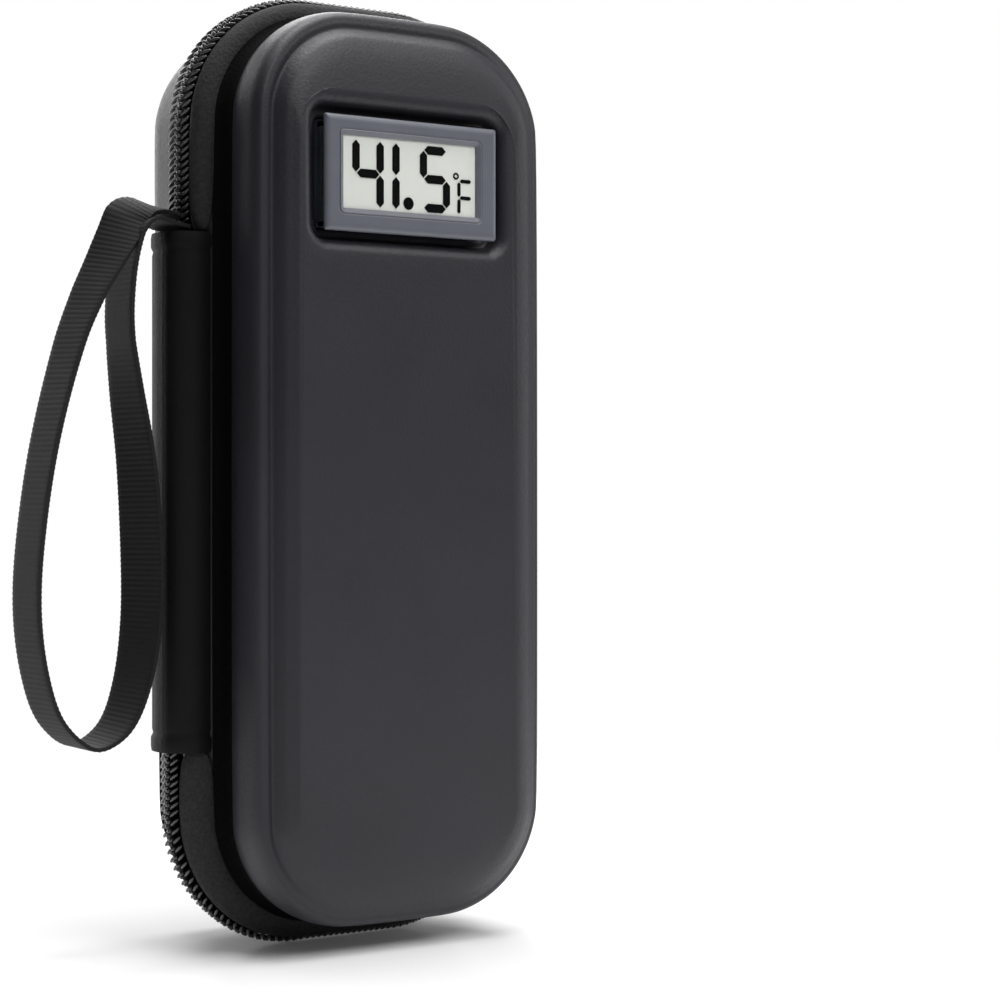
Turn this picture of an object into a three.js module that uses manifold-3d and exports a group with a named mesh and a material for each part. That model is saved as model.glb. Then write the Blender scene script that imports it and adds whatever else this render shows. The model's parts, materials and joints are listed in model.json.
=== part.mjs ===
// Insulin cooling case: a moulded, zip-round travel case that stands on its end.
// Its lid carries a small thermometer in a dish, a soft spine joins the two halves,
// and a wrist strap hangs from the top of the spine.
// Millimetres, +Z up. The front faces -Y, the spine is on -X, and the origin is on the
// floor below the middle of the zipper.

import * as THREE from "three";
import { mergeVertices } from "three/addons/utils/BufferGeometryUtils.js";
import Module from "manifold-3d";

const wasm = await Module();
wasm.setup();

// Case, measured over the zipper
const CASE_WIDTH = 88.4;
const CASE_HEIGHT = 215.4;
const CORNER_RADIUS = 32;
const FRONT_DEPTH = 26.5;
const REAR_DEPTH = 27;

// Fits
const GAP = 0.3; // between neighbouring pieces
const RIM_GAP = 0.35; // from each rim to the plane where the halves meet
const OVERCUT = 1; // how far a cut reaches past the face that it opens

// Moulded shells
const SHELL_WALL = 3.2;
const LIP_WIDTH = 3.4; // flat of the lip that the zipper tape is sewn to
const LIP_SLOPE = 3.2; // from that flat in to the foot of the wall
const LIP_STANDOUT = 2;
const GROOVE_WIDTH = 1.8; // shadow groove between the tape and the wall
const GROOVE_DEPTH = 0.8;
const GROOVE_RISE = 1; // from the bottom of the groove out to the wall
const WALL_LEAN = 0.5;
const SHOULDER_HEIGHT = 4.6; // of the round edge from the wall to the ridge
const SHOULDER_INSET = 3;
const VALLEY_DEPTH = 0.4; // below the ridge
const VALLEY_WIDTH = 1.9; // from the ridge to the foot of the panel's side
const PANEL_RISE = 3.3; // of the flat panel above the ridge
const PANEL_SLOPE = 2.1; // how far the panel's side leans in
const LINING = 0.8;

// Zipper
const TAPE = 0.7;
const COIL_THICKNESS = 1.7;
const COIL_WIDTH = 3.9; // of one row
const COIL_BEVEL = 0.8;
const TOOTH_PITCH = 1.6;
const TOOTH_DEPTH = 1.4;
const TOOTH_GAP = 0.3;

// Spine
const SPINE_TOP = 160;
const SPINE_BOTTOM = 45;
const SPINE_WIDTH = 12; // of the band between the two folds
const SPINE_THICKNESS = 1.5;
const SPINE_CROWN = 0.9;
const SPINE_EASE = 2.4; // between the zipper's face and the band
const WELT_REACH = 7.6; // how far each padded welt reaches from the middle plane
const HEM_HEIGHT = 3.6;
const HEM_PROUD = 0.7;

// Wrist strap
const STRAP_WIDTH = 12;
const STRAP_THICKNESS = 1.3;
const STRAP_TWIST = 19; // degrees, of the leg beside the spine
const TAB_RISE = 4; // of the sewn tab above the hem
const TAB_REACH = 6; // out from the hem to the end of the tab

// Zipper sliders and their pulls
const SLIDER_LENGTH = 12;
const SLIDER_WIDTH = 9.2;
const SLIDER_PLATE = 1.1;
const SLIDER_SPACING = 14; // between the two sliders where they meet
const LUG_HEIGHT = 2.8;
const LUG_WIDTH = 1;
const PIN_RADIUS = 0.65;
const PULL_LENGTH = 20;
const PULL_WIDTH = 7;
const PULL_THICKNESS = 1.3;
const PULL_LEAN = 4; // degrees that the upper pull leans on the case

// Thermometer
const DISPLAY_DROP = 42.6; // from the top of the case to the middle of the display
const BEZEL_WIDTH = 47.5;
const BEZEL_HEIGHT = 26.5;
const BEZEL_PROUD = 0.3; // in front of the panel
const DISH_DEPTH = 4.5;
const DISH_MARGIN = 1.2; // flat floor of the dish round the bezel
const DISH_FLARE = 3.4; // slope of the dish from its floor to the panel
const DISH_RADIUS = 3.2;
const WINDOW_WIDTH = 34.6;
const WINDOW_HEIGHT = 15.2;
const WINDOW_THICKNESS = 1;
const WINDOW_LIP = 1.4; // thickness of the bezel over the window
const WINDOW_REBATE = 1.2; // each side of the opening
const BEZEL_BEVEL = 1.2;
const HOUSING_WALL = 1.3;
const HOUSING_DEPTH = 15; // from the front of the bezel
const HOUSING_INSET = 1.5; // of the housing box from the edge of the bezel
const LCD_THICKNESS = 1.6;
const BOARD_THICKNESS = 1.2;
const CELL_DIAMETER = 11.6;
const CELL_THICKNESS = 5.4;
const CELL_SPACING = 14;
const CONTACT_THICKNESS = 0.4;
const CONTACT_WIDTH = 6;
const BACK_THICKNESS = 1.4;
const DOOR_WIDTH = 29;
const DOOR_HEIGHT = 14;
const DOOR_THICKNESS = 1.2;
const RAIL_WIDTH = 1.4;
const RAIL_LIP = 1;
const SENSOR_DIAMETER = 3;
const SENSOR_REACH = 2.5; // behind the back of the housing
const SENSOR_OFFSET = 18.2; // sideways from the middle

// Ice packs and their mesh pockets
const PACK_LENGTH = 118;
const PACK_WIDTH = 43;
const PACK_THICKNESS = 10;
const PACK_EDGE = 4.4; // roundness of the edge, seen from the front
const POCKET_WALL = 0.8;
const POCKET_EASE = 0.6; // room round the pack
const REAR_PACK_HEIGHT = 107;
const FRONT_PACK_HEIGHT = 78;

// Fineness of the round stretches
const CORNER_STEPS = 8;
const SHOULDER_STEPS = 5;
const ROUND_STEPS = 14;
const STRAP_STEPS = 48;
const TAB_STEPS = 10;
const PACK_STEPS = 6;
const SENSOR_STEPS = 4;

// Worked out from the sizes above
const ZIP_STANDOFF = LIP_STANDOUT + GAP + TAPE + GAP + COIL_THICKNESS;
const WALL_WIDTH = CASE_WIDTH - 2 * ZIP_STANDOFF;
const WALL_HEIGHT = CASE_HEIGHT - 2 * ZIP_STANDOFF;
const WALL_RADIUS = CORNER_RADIUS - ZIP_STANDOFF;
const MIDDLE = CASE_HEIGHT / 2;
const DISPLAY_HEIGHT = CASE_HEIGHT - DISPLAY_DROP; // above the floor
const FOOT = LIP_WIDTH + LIP_SLOPE; // where the lip's slope meets the wall
const WALL_START = FOOT + GROOVE_WIDTH + GROOVE_RISE;
const SEAT_DEPTH = SHELL_WALL + GAP + LINING + GAP; // from a panel's face to what lies on the lining

const DEGREE = Math.PI / 180;
const vector = (x, y, z) => new THREE.Vector3(x, y, z);

// Geometry helpers

// A closed geometry from corner points and triangles, turned so that its faces point out
function closedGeometry(points, triangles) {
  let volume = 0;
  for (let i = 0; i < triangles.length; i += 3) {
    const [a, b, c] = [0, 1, 2].map((k) => points[triangles[i + k]]);
    volume += a.dot(b.clone().cross(c));
  }
  if (volume < 0) triangles.reverse();
  const geometry = new THREE.BufferGeometry().setFromPoints(points);
  geometry.setIndex(triangles);
  geometry.computeVertexNormals();
  return geometry;
}

// A skin over rings of equal point counts, with a flat fan at each end
function ringGeometry(rings) {
  const count = rings[0].length;
  const points = rings.flat();
  const triangles = [];
  for (let ring = 0; ring < rings.length - 1; ring += 1) {
    for (let k = 0; k < count; k += 1) {
      const next = (k + 1) % count;
      const [a, b] = [ring * count + k, ring * count + next];
      const [c, d] = [a + count, b + count];
      triangles.push(a, b, d, a, d, c);
    }
  }
  const fan = (ring, forward) => {
    const middle = points.length;
    const centre = vector(0, 0, 0);
    rings[ring].forEach((p) => centre.addScaledVector(p, 1 / count));
    points.push(centre);
    for (let k = 0; k < count; k += 1) {
      const [a, b] = [ring * count + k, ring * count + ((k + 1) % count)];
      triangles.push(middle, forward ? a : b, forward ? b : a);
    }
  };
  fan(0, false);
  fan(rings.length - 1, true);
  return closedGeometry(points, triangles);
}

// A bar whose section corners each run along a line of { distance, point }, with flat ends
function barGeometry(lines, section) {
  const points = [];
  const indexed = lines.map((line) =>
    line.map(({ distance, point }) => ({ distance, index: points.push(point) - 1 })),
  );
  const triangles = [];
  indexed.forEach((a, k) => {
    const b = indexed[(k + 1) % indexed.length];
    let [i, j] = [0, 0];
    while (i < a.length - 1 || j < b.length - 1) {
      const nextA = i < a.length - 1 ? a[i + 1].distance : Infinity;
      const nextB = j < b.length - 1 ? b[j + 1].distance : Infinity;
      if (nextA <= nextB) {
        triangles.push(a[i].index, b[j].index, a[i + 1].index);
        i += 1;
      } else {
        triangles.push(a[i].index, b[j].index, b[j + 1].index);
        j += 1;
      }
    }
  });
  const clockwise = THREE.ShapeUtils.isClockWise(section);
  for (const face of THREE.ShapeUtils.triangulateShape(section, [])) {
    const turned = clockwise ? [...face].reverse() : face;
    triangles.push(...turned.map((k) => indexed[k][0].index).reverse());
    triangles.push(...turned.map((k) => indexed[k].at(-1).index));
  }
  return closedGeometry(points, triangles);
}

// A rounded rectangle in the XZ plane, centred on x = 0
class Outline {
  constructor(width, height, radius, middle = MIDDLE) {
    Object.assign(this, { width, height, radius, middle });
    this.side = height / 2 - radius;
    this.top = width - 2 * radius;
    this.arc = (Math.PI / 2) * radius;
    this.length = 4 * this.side + 2 * this.top + 4 * this.arc;
  }

  // Distances at which each corner starts, from the middle of the left side upwards
  get cornerStarts() {
    const quarter = this.side + this.arc;
    const starts = [this.side, quarter + this.top];
    return [...starts, ...starts.map((s) => s + this.length / 2)];
  }

  // The point and the outward direction at a distance from the middle of the left side
  at(distance) {
    const half = distance < this.length / 2 ? 1 : -1;
    let s = half > 0 ? distance : distance - this.length / 2;
    const [x, z] = [this.width / 2 - this.radius, this.side];
    const on = (px, pz, nx, nz) => ({
      x: half * px,
      z: this.middle + half * pz,
      nx: half * nx,
      nz: half * nz,
    });
    if (s <= this.side) return on(-this.width / 2, s, -1, 0);
    s -= this.side;
    if (s <= this.arc) {
      const turn = s / this.radius;
      const [nx, nz] = [-Math.cos(turn), Math.sin(turn)];
      return on(-x + this.radius * nx, z + this.radius * nz, nx, nz);
    }
    s -= this.arc;
    if (s <= this.top) return on(-x + s, this.height / 2, 0, 1);
    s -= this.top;
    if (s <= this.arc) {
      const turn = s / this.radius;
      const [nx, nz] = [Math.sin(turn), Math.cos(turn)];
      return on(x + this.radius * nx, z + this.radius * nz, nx, nz);
    }
    s -= this.arc;
    return on(this.width / 2, z - s, 1, 0);
  }

  // Distances from start to end that follow the corners closely and the straights in one step
  stations(start, end) {
    const found = [start, end];
    for (const corner of this.cornerStarts)
      for (let k = 0; k <= CORNER_STEPS; k += 1) {
        const distance = corner + (this.arc * k) / CORNER_STEPS;
        if (distance > start && distance < end) found.push(distance);
      }
    return found.sort((a, b) => a - b);
  }

  ring(y) {
    const points = [];
    for (const corner of this.cornerStarts)
      for (let k = 0; k <= CORNER_STEPS; k += 1) {
        const { x, z } = this.at(corner + (this.arc * k) / CORNER_STEPS);
        points.push(vector(x, y, z));
      }
    return points;
  }
}

function wallOutline(inset) {
  return new Outline(WALL_WIDTH - 2 * inset, WALL_HEIGHT - 2 * inset, WALL_RADIUS - inset);
}

// A rounded block lofted between two upright rounded rectangles, about the local origin
function taperedBlock(near, far) {
  const rings = [near, far].map((end) =>
    new Outline(end.width, end.height, end.radius, 0).ring(end.y),
  );
  return ringGeometry(rings);
}

function block(width, depth, height, x, y, z) {
  return new THREE.BoxGeometry(width, depth, height).translate(x, y, z);
}

// A cylinder that lies along Y from y = start to y = end
function rod(radius, start, end, x, z) {
  const geometry = new THREE.CylinderGeometry(radius, radius, end - start, ROUND_STEPS);
  return geometry.translate(x, (start + end) / 2, z);
}

function roundedShape(width, height, radius) {
  const [x, y] = [width / 2, height / 2];
  const shape = new THREE.Shape();
  shape.moveTo(-x + radius, -y);
  shape.lineTo(x - radius, -y);
  shape.absarc(x - radius, -y + radius, radius, -Math.PI / 2, 0);
  shape.lineTo(x, y - radius);
  shape.absarc(x - radius, y - radius, radius, 0, Math.PI / 2);
  shape.lineTo(-x + radius, y);
  shape.absarc(-x + radius, y - radius, radius, Math.PI / 2, Math.PI);
  shape.lineTo(-x, -y + radius);
  shape.absarc(-x + radius, -y + radius, radius, Math.PI, 1.5 * Math.PI);
  return shape;
}

function extrude(shape, depth) {
  const options = { depth, bevelEnabled: false, curveSegments: CORNER_STEPS / 2 };
  return new THREE.ExtrudeGeometry(shape, options);
}

// Boolean helpers

function solid(geometry) {
  const bare = geometry.clone();
  for (const name of Object.keys(bare.attributes))
    if (name !== "position") bare.deleteAttribute(name);
  const merged = mergeVertices(bare);
  return new wasm.Manifold(
    new wasm.Mesh({
      numProp: 3,
      vertProperties: merged.attributes.position.array,
      triVerts: new Uint32Array(merged.index.array),
    }),
  );
}

function geometryOf(manifold) {
  const { vertProperties, triVerts } = manifold.getMesh();
  const geometry = new THREE.BufferGeometry();
  geometry.setAttribute("position", new THREE.BufferAttribute(vertProperties, 3));
  geometry.setIndex(new THREE.BufferAttribute(triVerts, 1));
  geometry.computeVertexNormals();
  return geometry;
}

function cut(geometry, ...tools) {
  return geometryOf(tools.reduce((rest, tool) => rest.subtract(solid(tool)), solid(geometry)));
}

function join(geometry, ...others) {
  return geometryOf(others.reduce((all, other) => all.add(solid(other)), solid(geometry)));
}

// Materials

function finish(color, roughness, metalness = 0) {
  return new THREE.MeshStandardMaterial({ color, roughness, metalness });
}

const LEATHER = finish(0x2b2c30, 0.5);
const LINING_CLOTH = finish(0x3a3d42, 0.9);
const TAPE_CLOTH = finish(0x1d1e21, 0.85);
const NYLON = finish(0x141416, 0.35);
const WEBBING = finish(0x26262a, 0.85);
const SLATE_PLASTIC = finish(0x3d4148, 0.45);
const CLEAR_PLASTIC = finish(0xdfe3e2, 0.05);
const DISPLAY_GLASS = finish(0xd4d7d0, 0.3);
const BOARD = finish(0x1f5b3a, 0.5);
const STEEL = finish(0xb9bcc0, 0.3, 1);
const DARK_METAL = finish(0x2e2f33, 0.35, 1);
const BLUE_GEL = finish(0x0f63cf, 0.4);
const MESH_CLOTH = finish(0x2a2b2e, 0.9);

function mesh(name, geometry, material) {
  const made = new THREE.Mesh(geometry, material);
  made.name = name;
  return made;
}

// Moulded shells
// A profile is a list of [depth from the middle plane, inset from the wall outline].

// The round edge from the wall up to the ridge
function shoulder(ridge, steps) {
  const profile = [];
  for (let k = 0; k <= steps; k += 1) {
    const turn = (k / steps) * (Math.PI / 2);
    const inset = WALL_LEAN + (SHOULDER_INSET - WALL_LEAN) * (1 - Math.cos(turn));
    profile.push([ridge - SHOULDER_HEIGHT * (1 - Math.sin(turn)), inset]);
  }
  return profile;
}

function outerProfile(depth) {
  const profile = [
    [RIM_GAP, -LIP_STANDOUT],
    [LIP_WIDTH, -LIP_STANDOUT],
    [FOOT, GROOVE_DEPTH / 2],
    [FOOT + GROOVE_WIDTH, GROOVE_DEPTH],
    [WALL_START, 0],
  ];
  const valley = SHOULDER_INSET + VALLEY_WIDTH;
  profile.push(...shoulder(depth - PANEL_RISE, SHOULDER_STEPS));
  profile.push([depth - PANEL_RISE - VALLEY_DEPTH, valley]);
  profile.push([depth - PANEL_RISE / 4, valley + PANEL_SLOPE / 2]);
  profile.push([depth, valley + PANEL_SLOPE]);
  return profile;
}

// The inside of a shell, from the rim to the floor, moved in by an extra offset
function innerProfile(depth, offset) {
  const profile = [
    [RIM_GAP, SHELL_WALL - GROOVE_DEPTH + offset],
    [WALL_START, SHELL_WALL + offset],
  ];
  const [floor, wall] = [depth - SHELL_WALL - offset, SHELL_WALL + offset];
  const valley = SHOULDER_INSET + VALLEY_WIDTH;
  for (const [edge, inset] of shoulder(floor - PANEL_RISE, SHOULDER_STEPS - 2))
    profile.push([edge, wall + inset]);
  profile.push([floor - PANEL_RISE, wall + valley]);
  profile.push([floor, wall + valley + PANEL_SLOPE]);
  return profile;
}

// side is -1 for the front half and +1 for the rear half
function hollowGeometry(side, outside, inside) {
  const profile = [...outside].reverse().concat(inside);
  return ringGeometry(profile.map(([depth, inset]) => wallOutline(inset).ring(side * depth)));
}

function shellGeometry(side, depth) {
  return hollowGeometry(side, outerProfile(depth), innerProfile(depth, 0));
}

function liningGeometry(side, depth) {
  return hollowGeometry(side, innerProfile(depth, GAP), innerProfile(depth, GAP + LINING));
}

// The dish that the thermometer sits in, with the boss that carries it inside the lid

const DISH_FLOOR = {
  width: BEZEL_WIDTH + 2 * DISH_MARGIN,
  height: BEZEL_HEIGHT + 2 * DISH_MARGIN,
  radius: DISH_RADIUS,
};

// The floor's rounded rectangle grown by a margin, at a depth behind the panel's face
function dishRing(margin, behind) {
  return {
    width: DISH_FLOOR.width + 2 * margin,
    height: DISH_FLOOR.height + 2 * margin,
    radius: DISH_FLOOR.radius + margin,
    y: -FRONT_DEPTH + behind,
  };
}

function atDisplay(geometry) {
  return geometry.translate(0, 0, DISPLAY_HEIGHT);
}

function dishCut() {
  const flare = DISH_FLARE * (1 + OVERCUT / DISH_DEPTH);
  return atDisplay(taperedBlock(dishRing(flare, -OVERCUT), dishRing(0, DISH_DEPTH)));
}

function dishBoss(extra) {
  const near = dishRing(DISH_FLARE + SHELL_WALL + extra, SHELL_WALL / 2);
  const far = dishRing(SHELL_WALL + extra, DISH_DEPTH + SHELL_WALL + extra);
  return atDisplay(taperedBlock(near, far));
}

const BODY_WIDTH = BEZEL_WIDTH - 2 * HOUSING_INSET;
const BODY_HEIGHT = BEZEL_HEIGHT - 2 * HOUSING_INSET;

function moduleOpening() {
  const [width, height] = [BODY_WIDTH + 2 * GAP, BODY_HEIGHT + 2 * GAP];
  const depth = 2 * (DISH_DEPTH + SHELL_WALL);
  return block(width, depth, height, 0, -FRONT_DEPTH + DISH_DEPTH + SHELL_WALL, DISPLAY_HEIGHT);
}

function frontShellGeometry() {
  const bossed = join(shellGeometry(-1, FRONT_DEPTH), dishBoss(0));
  return cut(bossed, dishCut(), moduleOpening());
}

function frontLiningGeometry() {
  return cut(liningGeometry(-1, FRONT_DEPTH), dishBoss(GAP));
}

// Zipper

const ZIP_START = SPINE_TOP - MIDDLE + GAP;
const ZIP_END = MIDDLE - SPINE_BOTTOM + GAP;

// A line along the outline at one depth and inset, for a band that stops at the spine
function bandLine(outline, stations, side, depth, inset) {
  return stations.map((distance) => {
    const { x, z, nx, nz } = outline.at(distance);
    return { distance, point: vector(x - inset * nx, side * depth, z - inset * nz) };
  });
}

function bandGeometry(outline, stations, side, section) {
  const lines = section.map(([depth, inset]) => bandLine(outline, stations, side, depth, inset));
  return barGeometry(lines, section.map(([depth, inset]) => new THREE.Vector2(depth, inset)));
}

function tapeGeometry(side) {
  const slope = Math.atan2(LIP_STANDOUT + GROOVE_DEPTH / 2, LIP_SLOPE);
  const bend = Math.tan(slope / 2); // how far a bend moves along when it is offset
  const [near, far] = [GAP, GAP + TAPE];
  const edge = RIM_GAP + GAP;
  const end = (offset) => [
    FOOT + offset * Math.sin(slope),
    GROOVE_DEPTH / 2 - offset * Math.cos(slope),
  ];
  const section = [
    [edge, -LIP_STANDOUT - far],
    [LIP_WIDTH + far * bend, -LIP_STANDOUT - far],
    end(far),
    end(near),
    [LIP_WIDTH + near * bend, -LIP_STANDOUT - near],
    [edge, -LIP_STANDOUT - near],
  ];
  const outline = wallOutline(0);
  return bandGeometry(outline, outline.stations(ZIP_START, outline.length - ZIP_END), side, section);
}

// One row of the coil: a bar whose inner edge is cut into teeth that mesh with the other row
function coilGeometry(side) {
  const outline = wallOutline(-ZIP_STANDOFF);
  const [start, end] = [ZIP_START, outline.length - ZIP_END];
  const coarse = outline.stations(start, end);
  const teeth = Math.round((end - start) / TOOTH_PITCH);
  const edge = (inset) => {
    const line = [];
    for (let k = 0; k <= 2 * teeth; k += 1) {
      const swing = (k % 2 === 0 ? 1 : -1) * (TOOTH_DEPTH / 2);
      const distance = start + ((end - start) * k) / (2 * teeth);
      const depth = TOOTH_GAP / 2 + side * swing;
      line.push(...bandLine(outline, [distance], side, depth, inset));
    }
    return line;
  };
  const section = [
    [0, 0],
    [COIL_WIDTH - COIL_BEVEL, 0],
    [COIL_WIDTH, COIL_BEVEL],
    [COIL_WIDTH, COIL_THICKNESS],
    [0, COIL_THICKNESS],
  ];
  const lines = section.map(([depth, inset]) =>
    depth === 0 ? edge(inset) : bandLine(outline, coarse, side, depth, inset),
  );
  return barGeometry(lines, section.map(([depth, inset]) => new THREE.Vector2(depth, inset)));
}

// Spine: a band between two folds, hemmed at its ends, over a padded welt on each half

const SPINE_FACE = ZIP_STANDOFF + SPINE_EASE; // inner face of the band, out from the wall outline
const WELT_FACE = SPINE_FACE - 2 * GAP;

function spineSection(proud) {
  const half = SPINE_WIDTH / 2;
  const outer = SPINE_FACE + SPINE_THICKNESS + proud;
  return [
    [-half, -SPINE_FACE],
    [-half, -outer + SPINE_CROWN],
    [-half / 2, -outer + SPINE_CROWN / 4],
    [0, -outer],
    [half / 2, -outer + SPINE_CROWN / 4],
    [half, -outer + SPINE_CROWN],
    [half, -SPINE_FACE],
  ];
}

// An upright bar on the left side, between two heights
function spineBar(section, side, bottom, top) {
  const stations = [bottom, top];
  const lines = section.map(([depth, inset]) =>
    stations.map((z) => ({
      distance: z,
      point: vector(-WALL_WIDTH / 2 + inset, side * depth, z),
    })),
  );
  return barGeometry(lines, section.map(([depth, inset]) => new THREE.Vector2(depth, inset)));
}

function weltGeometry(side) {
  const section = [
    [RIM_GAP + GAP, -LIP_STANDOUT - GAP],
    [LIP_WIDTH + GAP / 2, -LIP_STANDOUT - GAP],
    [FOOT + GAP, 0],
    [WELT_REACH, -GAP],
    [WELT_REACH, -WELT_FACE + LIP_STANDOUT],
    [SPINE_WIDTH / 2, -WELT_FACE],
    [RIM_GAP + GAP, -WELT_FACE],
  ];
  return spineBar(section, side, SPINE_BOTTOM, SPINE_TOP);
}

function bandOfSpine() {
  const [bottom, top] = [SPINE_BOTTOM + HEM_HEIGHT + GAP, SPINE_TOP - HEM_HEIGHT - GAP];
  return spineBar(spineSection(0), 1, bottom, top);
}

function hemGeometry(bottom) {
  return spineBar(spineSection(HEM_PROUD), 1, bottom, bottom + HEM_HEIGHT);
}

// Wrist strap: two layers sewn under the upper hem, and the loop that hangs from them

const TAB_HALF = STRAP_THICKNESS; // the tab is two layers thick
const TAB_X = -WALL_WIDTH / 2 - SPINE_FACE - TAB_HALF;
const TAB_START = SPINE_TOP + GAP;
const TAB_TOP = SPINE_TOP + TAB_RISE;
const PIVOT_X = TAB_X - TAB_REACH;
const PIVOT_Z = SPINE_TOP + 0.6 * TAB_RISE;

function tabGeometry() {
  const route = new THREE.CatmullRomCurve3([
    vector(TAB_X, 0, TAB_START),
    vector(TAB_X, 0, TAB_START + 0.45 * TAB_RISE),
    vector(TAB_X - 0.35 * TAB_REACH, 0, TAB_TOP),
    vector(TAB_X - 0.7 * TAB_REACH, 0, TAB_TOP),
    vector(PIVOT_X, 0, PIVOT_Z),
  ]);
  const [left, right] = [[], []];
  for (let k = 0; k <= TAB_STEPS; k += 1) {
    const { x, z } = route.getPoint(k / TAB_STEPS);
    const along = route.getTangent(k / TAB_STEPS);
    right.push(new THREE.Vector2(x + TAB_HALF * along.z, z - TAB_HALF * along.x));
    left.push(new THREE.Vector2(x - TAB_HALF * along.z, z + TAB_HALF * along.x));
  }
  const shape = new THREE.Shape([...right, ...left.reverse()]);
  const flat = extrude(shape, STRAP_WIDTH).rotateX(Math.PI / 2).translate(0, STRAP_WIDTH / 2, 0);
  return join(flat, rod(TAB_HALF, -STRAP_WIDTH / 2, STRAP_WIDTH / 2, PIVOT_X, PIVOT_Z));
}

// Points of the loop as [out from the pivot, below the pivot]
const STRAP_ROUTE = [
  [1.45, 0.5],
  [4.6, 3],
  [8.6, 9.5],
  [13, 17.5],
  [17.6, 28],
  [23.4, 49.6],
  [26.8, 71.2],
  [27.4, 86.4],
  [25.3, 100.3],
  [21.4, 109.6],
  [14, 115],
  [6.7, 111.4],
  [2.3, 102.2],
  [-0.1, 88.5],
  [-0.3, 73.5],
  [1.1, 53.5],
  [3.7, 36.5],
  [5.2, 23.5],
  [4.4, 13.5],
  [1.9, 6],
  [0.15, 1.55],
];

function strapGeometry() {
  const places = STRAP_ROUTE.map(([out, below]) => vector(PIVOT_X - out, 0, PIVOT_Z - below));
  const route = new THREE.CatmullRomCurve3(places, false, "centripetal");
  const across = vector(0, 1, 0);
  const rings = [];
  for (let k = 0; k <= STRAP_STEPS; k += 1) {
    const share = k / STRAP_STEPS;
    const along = route.getTangentAt(share);
    const leg = Math.max(0, Math.sin((share - 0.5) * 2 * Math.PI));
    const turn = STRAP_TWIST * DEGREE * leg ** 0.7;
    const wide = across.clone().applyAxisAngle(along, turn).multiplyScalar(STRAP_WIDTH / 2);
    const thick = along.clone().cross(wide).setLength(STRAP_THICKNESS / 2);
    const place = route.getPointAt(share);
    const corner = (u, v) => place.clone().addScaledVector(wide, u).addScaledVector(thick, v);
    rings.push([corner(-1, -1), corner(1, -1), corner(1, 1), corner(-1, 1)]);
  }
  return ringGeometry(rings);
}

// Sliders and pulls, about the local origin: the chain's face is the plane x = 0

const LUG_SPACE = PIN_RADIUS * 4; // between the two lugs
const PIVOT_OUT = GAP + SLIDER_PLATE + LUG_HEIGHT / 2 + GAP / 2;

function outwards(geometry, x) {
  const turned = new THREE.Matrix4().makeBasis(vector(0, 1, 0), vector(0, 0, 1), vector(1, 0, 0));
  return geometry.applyMatrix4(turned).translate(x, 0, 0);
}

function sliderGeometry() {
  const shape = roundedShape(SLIDER_WIDTH, SLIDER_LENGTH, SLIDER_WIDTH / 4);
  const plate = outwards(extrude(shape, SLIDER_PLATE), GAP);
  const flangeDepth = COIL_THICKNESS + SLIDER_PLATE / 2;
  const flangeWidth = SLIDER_WIDTH / 2 - COIL_WIDTH - GAP;
  const flangeX = GAP + SLIDER_PLATE / 2 - flangeDepth / 2;
  const flangeY = SLIDER_WIDTH / 2 - flangeWidth / 2;
  const flangeHeight = SLIDER_LENGTH - SLIDER_WIDTH / 2;
  const flange = block(flangeDepth, flangeWidth, flangeHeight, flangeX, flangeY, 0);
  const lugs = [-1, 1].map((side) => {
    const y = side * (LUG_SPACE / 2 + LUG_WIDTH / 2);
    const depth = LUG_HEIGHT + SLIDER_PLATE / 2;
    return block(depth, LUG_WIDTH, LUG_HEIGHT, GAP + SLIDER_PLATE / 2 + depth / 2, y, 0);
  });
  const bore = rod(PIN_RADIUS + GAP, -SLIDER_WIDTH, SLIDER_WIDTH, PIVOT_OUT, 0);
  return cut(join(plate, flange, ...lugs), bore);
}

// The pull points along +Z from its pin, which is the local origin
function pullGeometry() {
  const head = LUG_SPACE - 2 * GAP;
  const reach = LUG_SPACE / 2 + LUG_WIDTH;
  const pin = rod(PIN_RADIUS, -reach, reach, 0, 0);
  const eye = rod(LUG_HEIGHT / 2 - GAP, -head / 2, head / 2, 0, 0);
  const neckLength = LUG_HEIGHT;
  const neck = block(PULL_THICKNESS, head, neckLength, 0, 0, neckLength / 2);
  const length = PULL_LENGTH - neckLength + GAP;
  const tab = outwards(extrude(roundedShape(PULL_WIDTH, length, PULL_WIDTH / 3), PULL_THICKNESS), 0);
  tab.translate(-PULL_THICKNESS / 2, 0, PULL_LENGTH - length / 2);
  const hole = new THREE.CylinderGeometry(PULL_WIDTH / 5, PULL_WIDTH / 5, PULL_WIDTH, ROUND_STEPS);
  hole.rotateZ(Math.PI / 2).translate(0, 0, PULL_LENGTH - PULL_WIDTH / 2);
  return cut(join(pin, eye, neck, tab), hole);
}

// Thermometer, about the middle of the bezel's front face, with +Y going into the case

const LCD_FRONT = WINDOW_LIP + GAP + WINDOW_THICKNESS + GAP;
const BOARD_FRONT = LCD_FRONT + LCD_THICKNESS + GAP;
const CELL_FRONT = BOARD_FRONT + BOARD_THICKNESS + GAP;
const CONTACT_FRONT = CELL_FRONT + CELL_THICKNESS + GAP;
const BACK_FRONT = HOUSING_DEPTH - BACK_THICKNESS;
const INSIDE_WIDTH = BODY_WIDTH - 2 * HOUSING_WALL;
const INSIDE_HEIGHT = BODY_HEIGHT - 2 * HOUSING_WALL;
const BEZEL_DEPTH = DISH_DEPTH + BEZEL_PROUD - GAP;
const VIEW_WIDTH = WINDOW_WIDTH + 2 * WINDOW_REBATE;
const VIEW_HEIGHT = WINDOW_HEIGHT + 2 * WINDOW_REBATE;

function bezelRing(inset, y) {
  const [width, height] = [BEZEL_WIDTH - 2 * inset, BEZEL_HEIGHT - 2 * inset];
  return new Outline(width, height, BEZEL_BEVEL * 2 - inset, 0).ring(y);
}

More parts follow.
